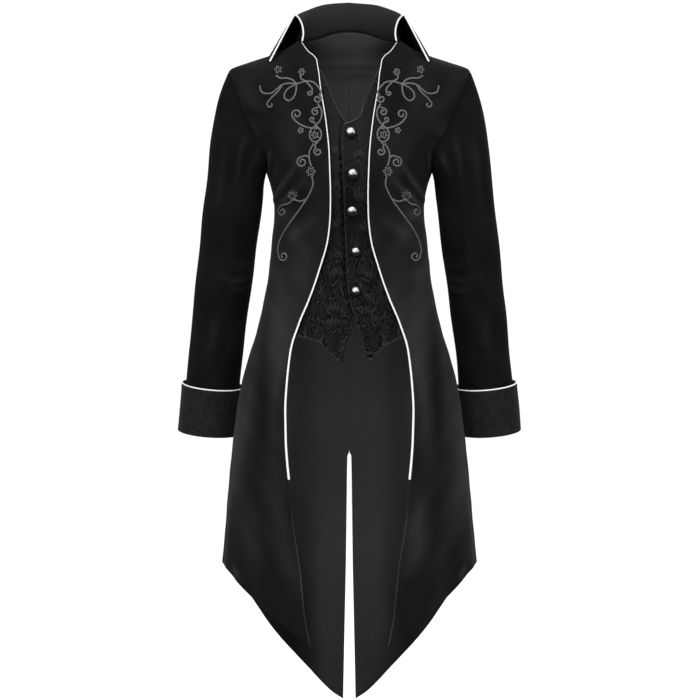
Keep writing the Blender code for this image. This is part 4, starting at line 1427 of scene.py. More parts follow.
    def back_grid(self, lining: bool = False) -> np.ndarray:
        """Grid of places of a back or its lining, from the side seam to the centre back."""
        row = self.row_places()
        break_at = self.shoulder_share
        u = crowded(self.back_columns, 0.6)
        left, right = self.armhole_side(row, back=True), self.centre_back(row)
        on_shoulder = u < break_at
        shoulder = self.shoulder(np.clip(u / break_at, 0, 1))
        neck = Path(self.back_neck).at(np.clip((u - break_at) / (1 - break_at), 0, 1))
        top = np.where(on_shoulder[:, None], shoulder, neck)
        bottom = self.surface.places(Path(self.back_hem).at(u), back=True)
        bottom[0] = left[-1]
        grid = self.blend(row, left, right, top, bottom, u)
        below = row >= self.chest_end
        grid[below, 0] = self.part(grid[below, 0], 1, self.butt)
        grid[:, -1] = self.part(grid[:, -1], -1, self.butt)
        if not lining:
            grid[0, on_shoulder] = self.part(grid[0, on_shoulder], 1, self.butt)
        return grid

    def seam_push(self, points: np.ndarray, edges: list) -> np.ndarray:
        """Dip of the cloth towards its sewn edges: a bell of the distance from each."""
        push = np.zeros(points.shape[:2])
        for edge, rows in edges:
            away = edge_distance(points, edge)
            push -= self.seam_dip * np.exp(-(away / self.seam_width) ** 2) * rows
        return push

    def bare_shoulder(self, points: np.ndarray) -> np.ndarray:
        """1 where the collar leaves the shoulder bare, and softly down to 0 under it."""
        return smooth((np.abs(points[..., 0]) - self.collar_reach) / self.seam_width / 4)

    def front_piece(self, side: Side) -> bpy.types.Object:
        """Build one front: velvet outside, satin facing inside."""
        grid = self.front_grid()
        points, normals, lift = self.surface.panel(grid[..., 0], grid[..., 1], 0.0, side)
        below = (self.row_places() >= self.chest_end)[:, None].astype(float)
        bare = self.bare_shoulder(points)
        dips = self.seam_push(points, [(points[:, -1:], below), (points[:1], bare)])
        # Painted highlight along the bare front edge below the cord.
        from_edge = edge_distance(points, points[:, :1])
        plain = smooth((self.cord_end - grid[..., 1] - 0.02) / 0.06)
        lift = lift + self.edge_highlight * plain * np.exp(-(from_edge / self.edge_width) ** 2)
        points = points + normals * dips[..., None]
        cloth = Cloth(f"velvet_front_{side.word}", points, self.velvet_wall,
                      self.wardrobe.velvet, self.wardrobe.facing, lift=lift)
        piece = settle(cloth.build(side), Slot.VELVET, f"front_{side.word}")
        return piece

    def back_piece(self, side: Side) -> bpy.types.Object:
        """Build one back of velvet."""
        grid = self.back_grid()
        points, normals, lift = self.surface.panel(grid[..., 0], grid[..., 1], 0.0, side)
        row = self.row_places()
        below = (row >= self.chest_end)[:, None].astype(float)
        closed = (grid[:, -1, 1] > self.vent[0][0])[:, None].astype(float)
        bare = self.bare_shoulder(points)
        dips = self.seam_push(points, [(points[:, :1], below), (points[:1], bare),
                                       (points[:, -1:], closed)])
        points = points + normals * dips[..., None]
        cloth = Cloth(f"velvet_back_{side.word}", points, self.velvet_wall,
                      self.wardrobe.velvet, self.wardrobe.velvet, lift=lift)
        piece = settle(cloth.build(side), Slot.VELVET, f"back_{side.word}")
        return piece

    def lining_piece(self, side: Side) -> bpy.types.Object:
        """Build one half of the back's lining, just inside the velvet."""
        grid = self.back_grid(lining=True)
        points, _ = self.surface.layer(grid[..., 0], grid[..., 1],
                                       self.velvet_wall + self.lining_clear, side)
        above = (1 - self.row_places() / self.row_count)[:, None] ** self.top_fade
        points[..., 2] -= self.lining_drop * above
        points[..., 0] = np.maximum(points[..., 0], 0.0)
        closed = grid[:, -1, 1] > self.vent[0][0]
        points[closed, -1, 0] = 0.0
        # Painted light by height, less down the tails, and painted shade towards the sides.
        heights, lifts = np.array(self.lining_lift).T
        lift = np.interp(-points[..., 2], -heights, lifts)
        lift = lift + self.lining_side_lift * smooth((points[..., 0] - 0.045) / 0.04)
        cloth = Cloth(f"satin_lining_{side.word}", points, self.lining_wall,
                      self.wardrobe.satin, self.wardrobe.satin, lift=lift)
        piece = cloth.build(side)
        piece.modifiers.new("even_shading", "WEIGHTED_NORMAL").weight = 100
        settle(piece, Slot.SATIN, f"lining_{side.word}")
        return piece

    def edge_line(self, low: float, step: float, inward: float, side: Side) -> tuple:
        """Even points along a front's edge, from the neck's notch down to a height.

        Args:
            low: where the line ends.
            step: distance between the points.
            inward: depth below the coat's surface.
            side: the wearer's side.

        Returns:
            Points, outward normals, and the direction away from the cloth.
        """
        row = np.linspace(self.neck_rows, self.row_count, 900)
        places = self.front_side(row)
        places = places[places[:, 1] > low]
        points, normals = self.surface.layer(places[:, 0], places[:, 1], inward, side)
        stops = np.concatenate([[0.0], np.cumsum(
            np.linalg.norm(np.diff(points, axis=0), axis=1))])
        line = Curve(np.column_stack([stops, points, normals]))
        even = line(np.linspace(0.0, stops[-1], round(stops[-1] / step) + 1))
        points, normals = even[:, :3], unit(even[:, 3:])
        away = unit(np.cross(unit(np.gradient(points, axis=0)), normals))
        return points, normals, away

    def build(self) -> None:
        """Build the six panels."""
        for side in Side:
            self.front_piece(side)
            self.back_piece(side)
            self.lining_piece(side)


# Sleeves and cuffs


@dataclass
class Sleeves:
    """Sleeves set into the armholes, and turned-back cuffs.

    Attributes:
        sections: height, centre out, centre back, half width and half depth of the sleeve.
        cuff_sections: the same for the cuff.
        creases: places are (angle in degrees from the outer side towards the front, height).
    """

    body: CoatBody
    wardrobe: Wardrobe
    sections: tuple = (
        (-0.250, 0.2070, 0.004, 0.0520, 0.0660), (-0.310, 0.2145, 0.009, 0.0518, 0.0645),
        (-0.364, 0.2211, 0.015, 0.0513, 0.0630), (-0.430, 0.2295, 0.023, 0.0502, 0.0610),
        (-0.500, 0.2380, 0.032, 0.0492, 0.0590), (-0.579, 0.2465, 0.042, 0.0486, 0.0575),
        (-0.640, 0.2520, 0.048, 0.0500, 0.0585), (-0.6765, 0.2551, 0.051, 0.0551, 0.0632))
    cuff_sections: tuple = (
        (-0.5935, 0.2478, 0.0435, 0.0566, 0.0645), (-0.6350, 0.2517, 0.0473, 0.0570, 0.0650),
        (-0.6775, 0.2552, 0.0512, 0.0574, 0.0655))
    columns: int = 108
    cap_rows: int = 44
    arm_rows: int = 96
    cuff_rows: int = 26
    creases: tuple = (
        Crease(((97, -0.110), (99, -0.170), (96, -0.235)), 0.0070, 0.0034, 0.8, 1.0),
        Crease(((122, -0.125), (124, -0.170), (121, -0.215)), 0.0060, 0.0030, 1.0, 0.8),
        Crease(((62, -0.135), (66, -0.200), (60, -0.290)), 0.0110, 0.0022, 1.0, 0.9),
        Crease(((160, -0.392), (120, -0.402), (72, -0.388)), 0.0060, 0.0026, 0.8, 1.0),
        Crease(((165, -0.412), (128, -0.418), (92, -0.408)), 0.0055, 0.0022, 1.0, 0.9),
        Crease(((158, -0.372), (130, -0.374), (104, -0.366)), 0.0060, 0.0018, 1.0, 0.7),
        Crease(((78, -0.455), (84, -0.505), (80, -0.560)), 0.0100, 0.0020, 0.8, 1.0),
        Crease(((118, -0.300), (112, -0.335), (118, -0.368)), 0.0090, -0.0016, 1.0, 1.0),
        Crease(((200, -0.400), (240, -0.412), (280, -0.396)), 0.0070, 0.0030, 1.0, 0.9),
        Crease(((196, -0.430), (232, -0.438), (262, -0.424)), 0.0070, 0.0022, 0.8, 1.0),
        Crease(((250, -0.130), (254, -0.190), (248, -0.260)), 0.0090, 0.0026, 0.9, 1.0),
        Crease(((292, -0.120), (296, -0.200), (290, -0.300)), 0.0120, -0.0020, 1.0, 0.8),
    )
    sleeve_flat: tuple = (0.44, 0.68)
    cuff_flat: tuple = (0.385, 0.088)

    def armhole_loop(self, side: Side) -> tuple:
        """The sleeve's top edge: the armhole's points, a seam gap into the hole and outward.

        Args:
            side: the wearer's side.

        Returns:
            Points round the armhole and the sleeve angle of each.
        """
        body, surface = self.body, self.body.surface
        half = self.columns // 2
        row = np.linspace(0.0, body.chest_end, half + 1)
        places = np.vstack([body.armhole_side(row, back=False)[:-1],
                            [[1.0, body.underarm]],
                            body.armhole_side(row, back=True)[-2:0:-1]])
        points, normals = surface.layer(places[:, 0], places[:, 1], 0.0, side)
        ahead = np.roll(points, -1, axis=0) - np.roll(points, 1, axis=0)
        into_hole = unit(np.cross(normals, ahead))
        steps = np.linalg.norm(np.roll(points, -1, axis=0) - points, axis=1)
        front, back = steps[:half], steps[half:]
        angles = np.concatenate([[0.0], math.pi * np.cumsum(front) / front.sum(),
                                 math.pi + math.pi * np.cumsum(back)[:-1] / back.sum()])
        under = np.clip(-np.cos(angles), 0.0, 1.0)[:, None] ** 2
        return points + (into_hole + normals * (1 + 2 * under)) * body.seam_gap, angles

    def rings(self, sections: tuple, heights: np.ndarray, angles: np.ndarray) -> np.ndarray:
        """Oval rings square to the arm, at any heights between the sections.

        Formula: the centre, plus the half width times the cosine outwards, less the half depth
        times the sine backwards, with both directions square to the arm's own axis.

        Args:
            sections: the table of the tube.
            heights: height of each ring.
            angles: the sleeve angles round a ring.

        Returns:
            Rings by angles by 3.
        """
        curve = Curve(sections)
        values = curve(heights)
        centre = np.column_stack([values[:, 0], values[:, 1], heights])
        nudge = 0.01
        before, after = curve(heights + nudge), curve(heights - nudge)
        fall = np.clip(heights + nudge, None, curve.at[-1]) - np.clip(heights - nudge,
                                                                      curve.at[0], None)
        axis = unit(np.column_stack([after[:, :2] - before[:, :2], -fall]))
        out = unit(np.array([1.0, 0.0, 0.0]) - axis[:, :1] * axis)
        back = np.cross(out, axis)
        return (centre[:, None] + (values[:, 2, None] * np.cos(angles))[..., None] * out[:, None]
                - (values[:, 3, None] * np.sin(angles))[..., None] * back[:, None])

    def sleeve_points(self, side: Side) -> tuple:
        """Rows of points of a sleeve, from the armhole to the wrist.

        The cap is a cubic from each armhole point to the first ring, which starts outwards and
        down from the armhole and ends along the arm.

        Args:
            side: the wearer's side.

        Returns:
            Rows by columns by 3 with the relief added, and the lift of the nap.
        """
        top, angles = self.armhole_loop(side)
        heights = np.linspace(self.sections[0][0], self.sections[-1][0], self.arm_rows + 1)
        arm = self.rings(self.sections, heights, angles)
        first, axis = arm[0], unit((arm[1] - arm[0]).mean(axis=0))
        reach = np.linalg.norm(first - top, axis=1)[:, None]
        wave = np.sin(angles)
        start = reach * np.column_stack([0.35 + 0.10 * np.cos(angles) + 0.40 * wave ** 2,
                                         -0.50 * wave, -0.93 + 0.48 * wave ** 2])
        end = axis * reach
        t = crowded(self.cap_rows, 0.5)[:-1, None, None]
        cap = (top * (1 + 2 * t) * (1 - t) ** 2 + first * t ** 2 * (3 - 2 * t)
               + start * t * (1 - t) ** 2 - end * t ** 2 * (1 - t))
        points = np.concatenate([cap, arm])
        normals = -grid_normals(points, closed=True)
        push = self.relief(points, angles, side)
        surface = self.body.surface
        # Painted light on ridges and painted shade in troughs.
        lift = surface.ridge_painted_light * np.clip(push / surface.ridge_height, -0.8, 1.0)
        return points + normals * push[..., None], lift

    def relief(self, points: np.ndarray, angles: np.ndarray, side: Side) -> np.ndarray:
        """Push of the creases, a faint unevenness, and the dip and puckers at the armhole.

        Args:
            points: the sleeve's points.
            angles: the sleeve angle of each column.
            side: the wearer's side.

        Returns:
            The push along the normals.
        """
        push = np.zeros(points.shape[:2])
        degrees = np.degrees(angles)
        for crease in self.creases:
            places = Path(crease.places).at(np.linspace(0.0, 1.0, 25))
            columns = np.interp(places[:, 0], degrees, np.arange(len(degrees))).astype(int)
            line = np.array([points[np.abs(points[:, c, 2] - z).argmin(), c]
                             for c, (_, z) in zip(columns, places)])
            push += crease.push(points, line, side)
        x, y, z = np.moveaxis(points, -1, 0)
        shift = 0.9 * side.value
        waves = (np.sin(57 * z + 40 * y + shift) + np.sin(95 * y - 33 * z + 2 * shift)
                 + 0.7 * np.sin(120 * x + 71 * z + 1.2))
        away = edge_distance(points, points[:1])
        calm = smooth(away / 0.03) * smooth((z - self.sections[-1][0] + 0.02) / 0.08)
        dip = -0.0014 * smooth(1 - away / 0.006) * smooth(away / 0.0015)
        pucker = 0.0005 * np.sin(26 * angles) * np.exp(-(away / 0.014) ** 2) * smooth(
            away / 0.003) * np.clip(np.cos(angles), 0, 1)
        return (push + 0.0008 * waves / 2) * calm + dip + pucker

    def cuff_points(self, side: Side, angles: np.ndarray) -> np.ndarray:
        """Rows of points of a cuff, with a soft dent or two and a rolled top edge."""
        span = self.cuff_sections[0][0] - self.cuff_sections[-1][0]
        heights = self.cuff_sections[0][0] - span * crowded(self.cuff_rows, 0.5)
        points = self.rings(self.cuff_sections, heights, angles)
        normals = -grid_normals(points, closed=True)
        share = (points[..., 2] - self.cuff_sections[-1][0]) / span
        wave = np.sin(3 * angles + 1.1 * side.value) * np.sin(math.pi * np.clip(share, 0, 1))
        away = edge_distance(points, points[:1])
        roll = 0.0005 * np.exp(-((away - 0.004) / 0.003) ** 2)
        return points + normals * (0.0007 * wave + roll)[..., None]

    def cord_line(self, side: Side, radius: float) -> tuple:
        """Ring of points of the piping that lies on a cuff's top edge.

        Args:
            side: the wearer's side.
            radius: the cord's half thickness.

        Returns:
            Points and their outward directions.
        """
        fine = np.linspace(0.0, 2 * math.pi, 700, endpoint=False)
        top = self.cuff_points(side, fine)
        axis = unit((top[1] - top[0]).mean(axis=0))
        outward = unit(top[0] - top[0].mean(axis=0))
        lifted = axis * (radius + self.body.seam_gap)
        return top[0] - outward * self.body.velvet_wall / 2 - lifted, outward

    def build(self) -> None:
        """Build the sleeves and cuffs."""
        for side in Side:
            _, angles = self.armhole_loop(side)
            points, lift = self.sleeve_points(side)
            cloth = Cloth(f"velvet_sleeve_{side.word}", points,
                          self.body.velvet_wall, self.wardrobe.sleeve_velvet,
                          self.wardrobe.facing, flipped=True, closed=True, lift=lift)
            piece = settle(cloth.build(side), Slot.VELVET, f"sleeve_{side.word}")
            cloth = Cloth(f"velvet_cuff_{side.word}", self.cuff_points(side, angles),
                          self.body.velvet_wall, self.wardrobe.cuff_velvet,
                          self.wardrobe.sleeve_velvet, flipped=True, closed=True)
            piece = settle(cloth.build(side), Slot.VELVET, f"cuff_{side.word}")


# Collar


@dataclass
class Collar:
    """Stand and fall in one folded piece, sewn to the neck.

    Attributes:
        fold: share along the neck seam, then the fold line's place out, back and up, and how
            roundly the collar folds over.
        fall: share along the neck seam, then turn, height and clearance of the lower edge.
    """

    body: CoatBody
    wardrobe: Wardrobe
    wall: float = 0.0020
    lean_in: float = 0.010
    stand_rise: float = 0.020
    stand_roll: float = 0.013
    bulge: float = 0.25
    reach: float = 0.35
    # Painted light on the stand's inner face and on the fall.
    stand_painted_light: float = 1.35
    fall_painted_light: float = 0.4
    stand_rows: int = 26
    fall_rows: int = 44
    columns: int = 84
    fold: tuple = (
        (0.00, 0.0975, -0.032, 0.0712, 0.002), (0.28, 0.0940, 0.010, 0.0735, 0.005),
        (0.52, 0.0820, 0.053, 0.0830, 0.008), (0.76, 0.0490, 0.088, 0.0962, 0.011),
        (1.00, 0.0000, 0.101, 0.1022, 0.013))
    fall: tuple = (
        (0.00, 0.606, -0.0145, 0.0030), (0.16, 0.840, 0.0018, 0.0005),
        (0.28, 1.020, 0.0085, 0.0002), (0.40, 1.200, 0.0070, 0.0006),
        (0.52, 1.400, 0.0095, 0.0018),
        (0.76, 1.700, 0.0200, 0.0032), (1.00, 2.000, 0.0260, 0.0042))
    flat: tuple = (0.48, 0.16)

    def sections(self) -> np.ndarray:
        """Sections of the left half from its front end to the centre back, seam to edge.

        The stand is a cubic from the seam that leans in and rises to the fold. The fall is a
        cubic from the fold, bulging outwards and springing down to its edge.
        """
        body, surface = self.body, self.body.surface
        row = np.linspace(body.neck_rows, 0.0, 60)
        back = Path(body.back_neck).at(np.linspace(0.0, 1.0, 120)[1:])
        seam = np.vstack([body.front_side(row), back])
        points = surface.point(seam[:, 0], seam[:, 1])
        normals = surface.normal(seam[:, 0], seam[:, 1])
        points = points - normals * body.velvet_wall / 2
        points = points + UP * (body.seam_gap + self.wall / 3)
        steps = np.linalg.norm(np.diff(points, axis=0), axis=1)
        shares = np.concatenate([[0.0], np.cumsum(steps)]) / steps.sum()
        wanted = np.linspace(0.0, 1.0, self.columns + 1)
        read = np.column_stack([np.interp(wanted, shares, column)
                                for column in np.column_stack([points, normals]).T])
        base, normal = read[:, :3], read[:, 3:]
        folds, falls = Curve(self.fold)(wanted), Curve(self.fall)(wanted)
        edge = (surface.point(falls[:, 0], falls[:, 1])
                + surface.normal(falls[:, 0], falls[:, 1]) * falls[:, 2:])
        out = unit(normal * np.array([1.0, 1.0, 0.0]))
        top, roll = folds[:, :3], folds[:, 3:]
        stand = self.bezier(base, base - out * self.lean_in + UP * self.stand_rise,
                            top - out * self.stand_roll, top,
                            np.linspace(0.0, 1.0, self.stand_rows + 1))
        spring = edge + (top - edge) * self.reach + out * roll * self.bulge
        fall = self.bezier(top, top + out * roll, spring, edge,
                           crowded(self.fall_rows, 0.3)[1:])
        return np.concatenate([stand, fall], axis=1)

    @staticmethod
    def bezier(a: np.ndarray, b: np.ndarray, c: np.ndarray, d: np.ndarray,
               t: np.ndarray) -> np.ndarray:
        """Points of cubic curves from a to d that leave towards b and arrive from c."""
        a, b, c, d = (v[:, None] for v in (a, b, c, d))
        t = t[None, :, None]
        return ((1 - t) ** 3 * a + 3 * t * (1 - t) ** 2 * b + 3 * t ** 2 * (1 - t) * c
                + t ** 3 * d)

    def points(self) -> np.ndarray:
        """The whole collar: the left half, the centre back and the right half mirrored."""
        half = self.sections()
        half[-1, :, 0] = 0.0
        mirrored = half[-2::-1] * np.array([-1.0, 1.0, 1.0])
        whole = np.concatenate([half, mirrored])
        normals = grid_normals(whole)
        x, _, z = np.moveaxis(whole, -1, 0)
        calm = smooth(edge_distance(whole, whole[:1]) / 0.03) * smooth(
            edge_distance(whole, whole[-1:]) / 0.03) * smooth(
            edge_distance(whole, whole[:, :1]) / 0.02) * smooth(
            edge_distance(whole, whole[:, -1:]) / 0.03)
        wave = np.sin(70 * x + 1.0) + 0.7 * np.sin(110 * z - 45 * x)
        return whole + normals * (0.0006 * wave * calm)[..., None]

    def cord_line(self, radius: float, gap: float, step: float) -> tuple:
        """Points of the piping on the collar's left end, and their outward directions."""
        whole = self.points()
        end = whole[0]
        away = end - whole[1]
        along = unit(np.gradient(end, axis=0))
        away = unit(away - (away * along).sum(axis=1, keepdims=True) * along)
        path = end + away * (radius + gap)
        path[0, 2] += 2 * radius
        stops = np.concatenate([[0.0], np.cumsum(np.linalg.norm(np.diff(path, axis=0), axis=1))])
        line = Curve(np.column_stack([stops, path, away]))
        even = line(np.linspace(0.0, stops[-1], round(stops[-1] / step) + 1))
        return even[:, :3], unit(even[:, 3:])

    def build(self) -> None:
        """Build the collar, its upper side in velvet, its underside darker as painted shade."""
        points = self.points()
        # Painted light on the stand's inner face, fading towards the ends, and a little on the
        # fall.
        along = np.linspace(-1.0, 1.0, len(points))[:, None]
        up = np.arange(points.shape[1])[None, :] / self.stand_rows
        inside = smooth(6 * (1.05 - up))
        lift = (self.stand_painted_light * smooth(1.7 * (1 - np.abs(along))) * inside
                + self.fall_painted_light * (1 - inside))
        # The darker velvet on the underside is painted shade.
        cloth = Cloth("velvet_collar", points, self.wall, self.wardrobe.under_velvet,
                      self.wardrobe.velvet, offset=0.0, lift=lift)
        piece = settle(cloth.build(), Slot.VELVET, "collar")


# Waistcoat front and its buttons


@dataclass(frozen=True)
class WaistcoatCut:
    """Edges of one waistcoat front, as places (from the centre line to its own side, height)."""

    neck: tuple
    lap: tuple
    hem: tuple
    seam: tuple
    depth: float
    creases: tuple


@dataclass
class Waistcoat:
    """Brocade fronts sewn inside the coat, the left lapped over the right, and five buttons."""

    body: CoatBody
    wardrobe: Wardrobe
    wall: float = 0.0012
    seam_depth: float = 0.0041
    rise_from: float = 0.82
    columns: int = 84
    rows: int = 150
    binding: float = 0.0030
    shadow: float = 0.0022
    seam: tuple = ((0.0800, -0.034), (0.0830, -0.080), (0.0810, -0.135), (0.0770, -0.205),
                   (0.0790, -0.290), (0.0870, -0.345), (0.1050, -0.400), (0.1330, -0.478))
    buttons: tuple = ((0.0032, -0.138, 0.0104), (0.0065, -0.212, 0.0104),
                      (0.0051, -0.278, 0.0104), (0.0116, -0.348, 0.0094),
                      (0.0116, -0.417, 0.0094))
    button_rise: float = 0.0078
    button_rim: float = 0.0018
    left_flat: tuple = (0.16, 0.53)
    right_flat: tuple = (0.16, 0.54)

    def cut(self, side: Side) -> WaistcoatCut:
        """The cut of one side."""
        if side is Side.LEFT:
            return WaistcoatCut(
                neck=((-0.0102, -0.122), (0.0023, -0.118), (0.0100, -0.115), (0.0189, -0.109),
                      (0.0256, -0.087), (0.0333, -0.067), (0.0425, -0.047), (0.0505, -0.030),
                      (0.0600, -0.020), (0.0700, -0.023), (0.0800, -0.034)),
                lap=((-0.0102, -0.122), (-0.0131, -0.135), (-0.0119, -0.205), (-0.0095, -0.278),
                     (-0.0065, -0.348), (-0.0023, -0.418), (0.0038, -0.447), (0.0138, -0.473),
                     (0.0222, -0.507), (0.0358, -0.541)),
                hem=((0.0358, -0.541), (0.0475, -0.527), (0.0632, -0.513), (0.0769, -0.506),
                     (0.0890, -0.500), (0.1100, -0.490), (0.1330, -0.478)),
                seam=self.seam, depth=0.0062,
                creases=(
                    Crease(((-0.011, -0.120), (-0.0095, -0.278), (-0.0005, -0.432)), 0.0030,
                           0.0013),
                    Crease(((0.006, -0.182), (0.020, -0.176), (0.036, -0.182)), 0.006, 0.0011),
                    Crease(((0.008, -0.247), (0.020, -0.254), (0.034, -0.248)), 0.006, 0.0012),
                    Crease(((0.012, -0.312), (0.024, -0.306), (0.040, -0.312)), 0.006, 0.0012),
                    Crease(((0.016, -0.372), (0.030, -0.388), (0.046, -0.392)), 0.006, 0.0014),
                    Crease(((0.018, -0.400), (0.030, -0.425), (0.052, -0.440)), 0.006, 0.0013),
                    Crease(((0.020, -0.445), (0.040, -0.455), (0.060, -0.480)), 0.008, 0.0010)))
        return WaistcoatCut(
            neck=((-0.0117, -0.146), (-0.0060, -0.136), (0.0066, -0.118), (0.0177, -0.101),
                  (0.0300, -0.076), (0.0425, -0.045), (0.0510, -0.028), (0.0600, -0.018),
                  (0.0700, -0.022), (0.0800, -0.034)),
            lap=((-0.0117, -0.146), (-0.0117, -0.205), (-0.0117, -0.290), (-0.0100, -0.400),
                 (-0.0091, -0.449), (-0.0065, -0.477), (-0.0002, -0.494), (0.0040, -0.508),
                 (0.0061, -0.524), (0.0134, -0.546)),
            hem=((0.0134, -0.546), (0.0261, -0.530), (0.0408, -0.519), (0.0515, -0.508),
                 (0.0724, -0.501), (0.0932, -0.496), (0.1130, -0.488), (0.1330, -0.478)),
            seam=self.seam, depth=0.0087,
            creases=(
                Crease(((0.0150, -0.125), (0.0145, -0.205), (0.0120, -0.278),
                        (0.0090, -0.348), (0.0045, -0.425)), 0.0040, -0.0024),
                Crease(((0.014, -0.178), (0.024, -0.170), (0.036, -0.176)), 0.006, 0.0012),
                Crease(((0.012, -0.236), (0.022, -0.230), (0.034, -0.236)), 0.006, 0.0013),
                Crease(((0.012, -0.290), (0.022, -0.300), (0.034, -0.300)), 0.006, 0.0012),
                Crease(((0.008, -0.362), (0.020, -0.352), (0.034, -0.350)), 0.005, 0.0014),
                Crease(((0.006, -0.392), (0.020, -0.384), (0.040, -0.388)), 0.006, 0.0013),
                Crease(((0.004, -0.455), (0.022, -0.446), (0.045, -0.452)), 0.006, 0.0014),
                Crease(((0.006, -0.474), (0.028, -0.470), (0.050, -0.478)), 0.006, 0.0011)))

    def panel_points(self, side: Side) -> tuple:
        """Points of one front, which lies inside the coat and rises to it at its seam.

        The neck's narrow binding is a ridge with a groove beyond it. The lap and hem edges are
        rolled softly.

        Args:
            side: the wearer's side.

        Returns:
            Rows by columns by 3, the cloth's painted light and shade, and where its edges are
            bound.
        """
        cut, surface = self.cut(side), self.body.surface
        u, v = crowded(self.columns, 0.72), crowded(self.rows, 0.80)
        grid = self.body.blend(v, surface.places(Path(cut.lap).at(v)),
                               surface.places(Path(cut.seam).at(v)),
                               surface.places(Path(cut.neck).at(u)),
                               surface.places(Path(cut.hem).at(u)), u)
        rise = smooth((u - self.rise_from) / (1 - self.rise_from))[None, :]
        depth = cut.depth + (self.seam_depth - cut.depth) * rise
        depth = np.broadcast_to(depth, grid.shape[:2])
        points, normals = surface.layer(grid[..., 0], grid[..., 1], depth, side)
        push = np.zeros(grid.shape[:2])
        for crease in cut.creases:
            line = surface.places(Path(crease.places).at(np.linspace(0.0, 1.0, 21)))
            line = surface.point(line[:, 0], line[:, 1]) - surface.normal(
                line[:, 0], line[:, 1]) * cut.depth
            push += crease.push(points, line, side)
        push = push * (1 - rise)
        from_neck = edge_distance(points, points[:1])
        from_lap = edge_distance(points, points[:, :1])
        from_hem = edge_distance(points, points[-1:])
        half = self.binding / 2
        push += 0.0009 * np.exp(-((from_neck - half) / half) ** 2)
        push -= 0.0009 * np.exp(-((from_neck - 2.8 * half) / (0.6 * half)) ** 2)
        push += 0.0003 * np.exp(-((from_lap - half) / half) ** 2)
        push += 0.0004 * np.exp(-((from_hem - half) / half) ** 2)
        hem = 0.6 * smooth(1.4 - from_hem / half) * smooth((-0.45 - points[..., 2]) / 0.03)
        binding = np.maximum(smooth(2.6 - from_neck / half), hem) * (1 - rise)
        across, height = points[..., 0], points[..., 2]
        # Painted light: lighter above the waist near the buttons and on ridges, darker in
        # troughs.
        lift = 0.16 * np.exp(-((across - 0.018) / 0.016) ** 2) * smooth((height + 0.34) / 0.12)
        lift = lift + 0.30 * np.clip(push / 0.001, -1.0, 1.5) - 0.11
        # Painted highlight along the left front's lap edge, and a painted shadow beside it on the
        # right.
        if side is Side.LEFT:
            lift = lift + 0.5 * np.exp(-((from_lap - half) / half) ** 2)
        else:
            lapped = surface.places(Path(self.cut(Side.LEFT).lap).at(np.linspace(0, 0.9, 120))
                                    * np.array([-1.0, 1.0]))
            lapped = surface.point(lapped[:, 0], lapped[:, 1])[:, [0, 2]]
            gap = np.linalg.norm(points[..., None, [0, 2]] - lapped, axis=-1).min(axis=-1)
            lift = lift - 1.1 * np.exp(-(gap / self.shadow) ** 2)
            lift = lift - 0.35 * np.exp(-(gap / (3 * self.shadow)) ** 2)
        return points + normals * push[..., None], lift, binding

    def button(self, number: int, across: float, height: float, radius: float) -> None:
        """Build one button: a dome that rolls under at its rim, turned about its own axis.

        Args:
            number: which button it is, from the top.
            across: distance from the centre line.
            height: height of its middle.
            radius: half its width.
        """
        surface = self.body.surface
        turn = surface.turn_at_width(np.array([across]), np.array([height]))
        depth = 0.0062 - 2 * self.body.seam_gap
        base, normal = surface.layer(turn, np.array([height]), depth, Side.LEFT)
        base, normal = base[0], normal[0]
        arc = np.linspace(0.0, math.pi / 2, 22)
        dome = np.column_stack([radius * np.sin(arc),
                                self.button_rim + self.button_rise * np.cos(arc)])
        under = np.linspace(0.0, math.pi / 2, 8)[1:]
        roll = np.column_stack([radius * (0.94 + 0.06 * np.cos(under)),
                                self.button_rim * (1 - 0.7 * np.sin(under))])
        foot = np.array([(0.90 * radius, 0.0), (0.0, 0.0)])
        profile = np.vstack([dome, roll, foot])
        sides = 56
        angle = np.linspace(0.0, 2 * math.pi, sides, endpoint=False)
        across_way = unit(np.cross(UP, normal))
        upward = np.cross(normal, across_way)
        ring = (np.cos(angle)[:, None] * across_way + np.sin(angle)[:, None] * upward)
        middle = profile[1:-1]
        points = base + middle[:, :1, None] * ring[None] + middle[:, 1:, None] * normal
        top = base + profile[0, 1] * normal
        bottom = base + profile[-1, 1] * normal
        vertices = np.vstack([points.reshape(-1, 3), top, bottom])
        rows = len(middle)
        row, column = np.meshgrid(np.arange(rows - 1), np.arange(sides), indexing="ij")
        after = (column + 1) % sides
        faces = np.stack([row * sides + column, (row + 1) * sides + column,
                          (row + 1) * sides + after, row * sides + after],
                         axis=-1).reshape(-1, 4).tolist()
        last = (rows - 1) * sides
        loop = np.arange(sides)
        after = (loop + 1) % sides
        faces += np.column_stack([np.full(sides, rows * sides), loop, after]).tolist()
        faces += np.column_stack([np.full(sides, rows * sides + 1), last + after,
                                  last + loop]).tolist()
        mesh = bpy.data.meshes.new(f"domed_button_{number}")
        mesh.from_pydata(vertices.tolist(), [], faces)
        mesh.shade_smooth()
        mesh.materials.append(self.wardrobe.metal)
        piece = bpy.data.objects.new(f"domed_button_{number}", mesh)
        bpy.context.scene.collection.objects.link(piece)
        settle(piece, Slot.METAL, f"button_{number}")

    def build(self) -> None:
        """Build both fronts and the buttons."""
        for side, flat, area in ((Side.LEFT, self.left_flat, 0.045),
                                 (Side.RIGHT, self.right_flat, 0.047)):
            points, lift, binding = self.panel_points(side)
            cloth = Cloth(f"brocade_front_{side.word}", points, self.wall,
                          self.wardrobe.brocade, self.wardrobe.satin, lift=lift,
                          binding=binding)
            piece = settle(cloth.build(side), Slot.BROCADE, f"waistcoat_{side.word}")
        for number, place in enumerate(self.buttons, start=1):
            self.button(number, *place)


# Piping


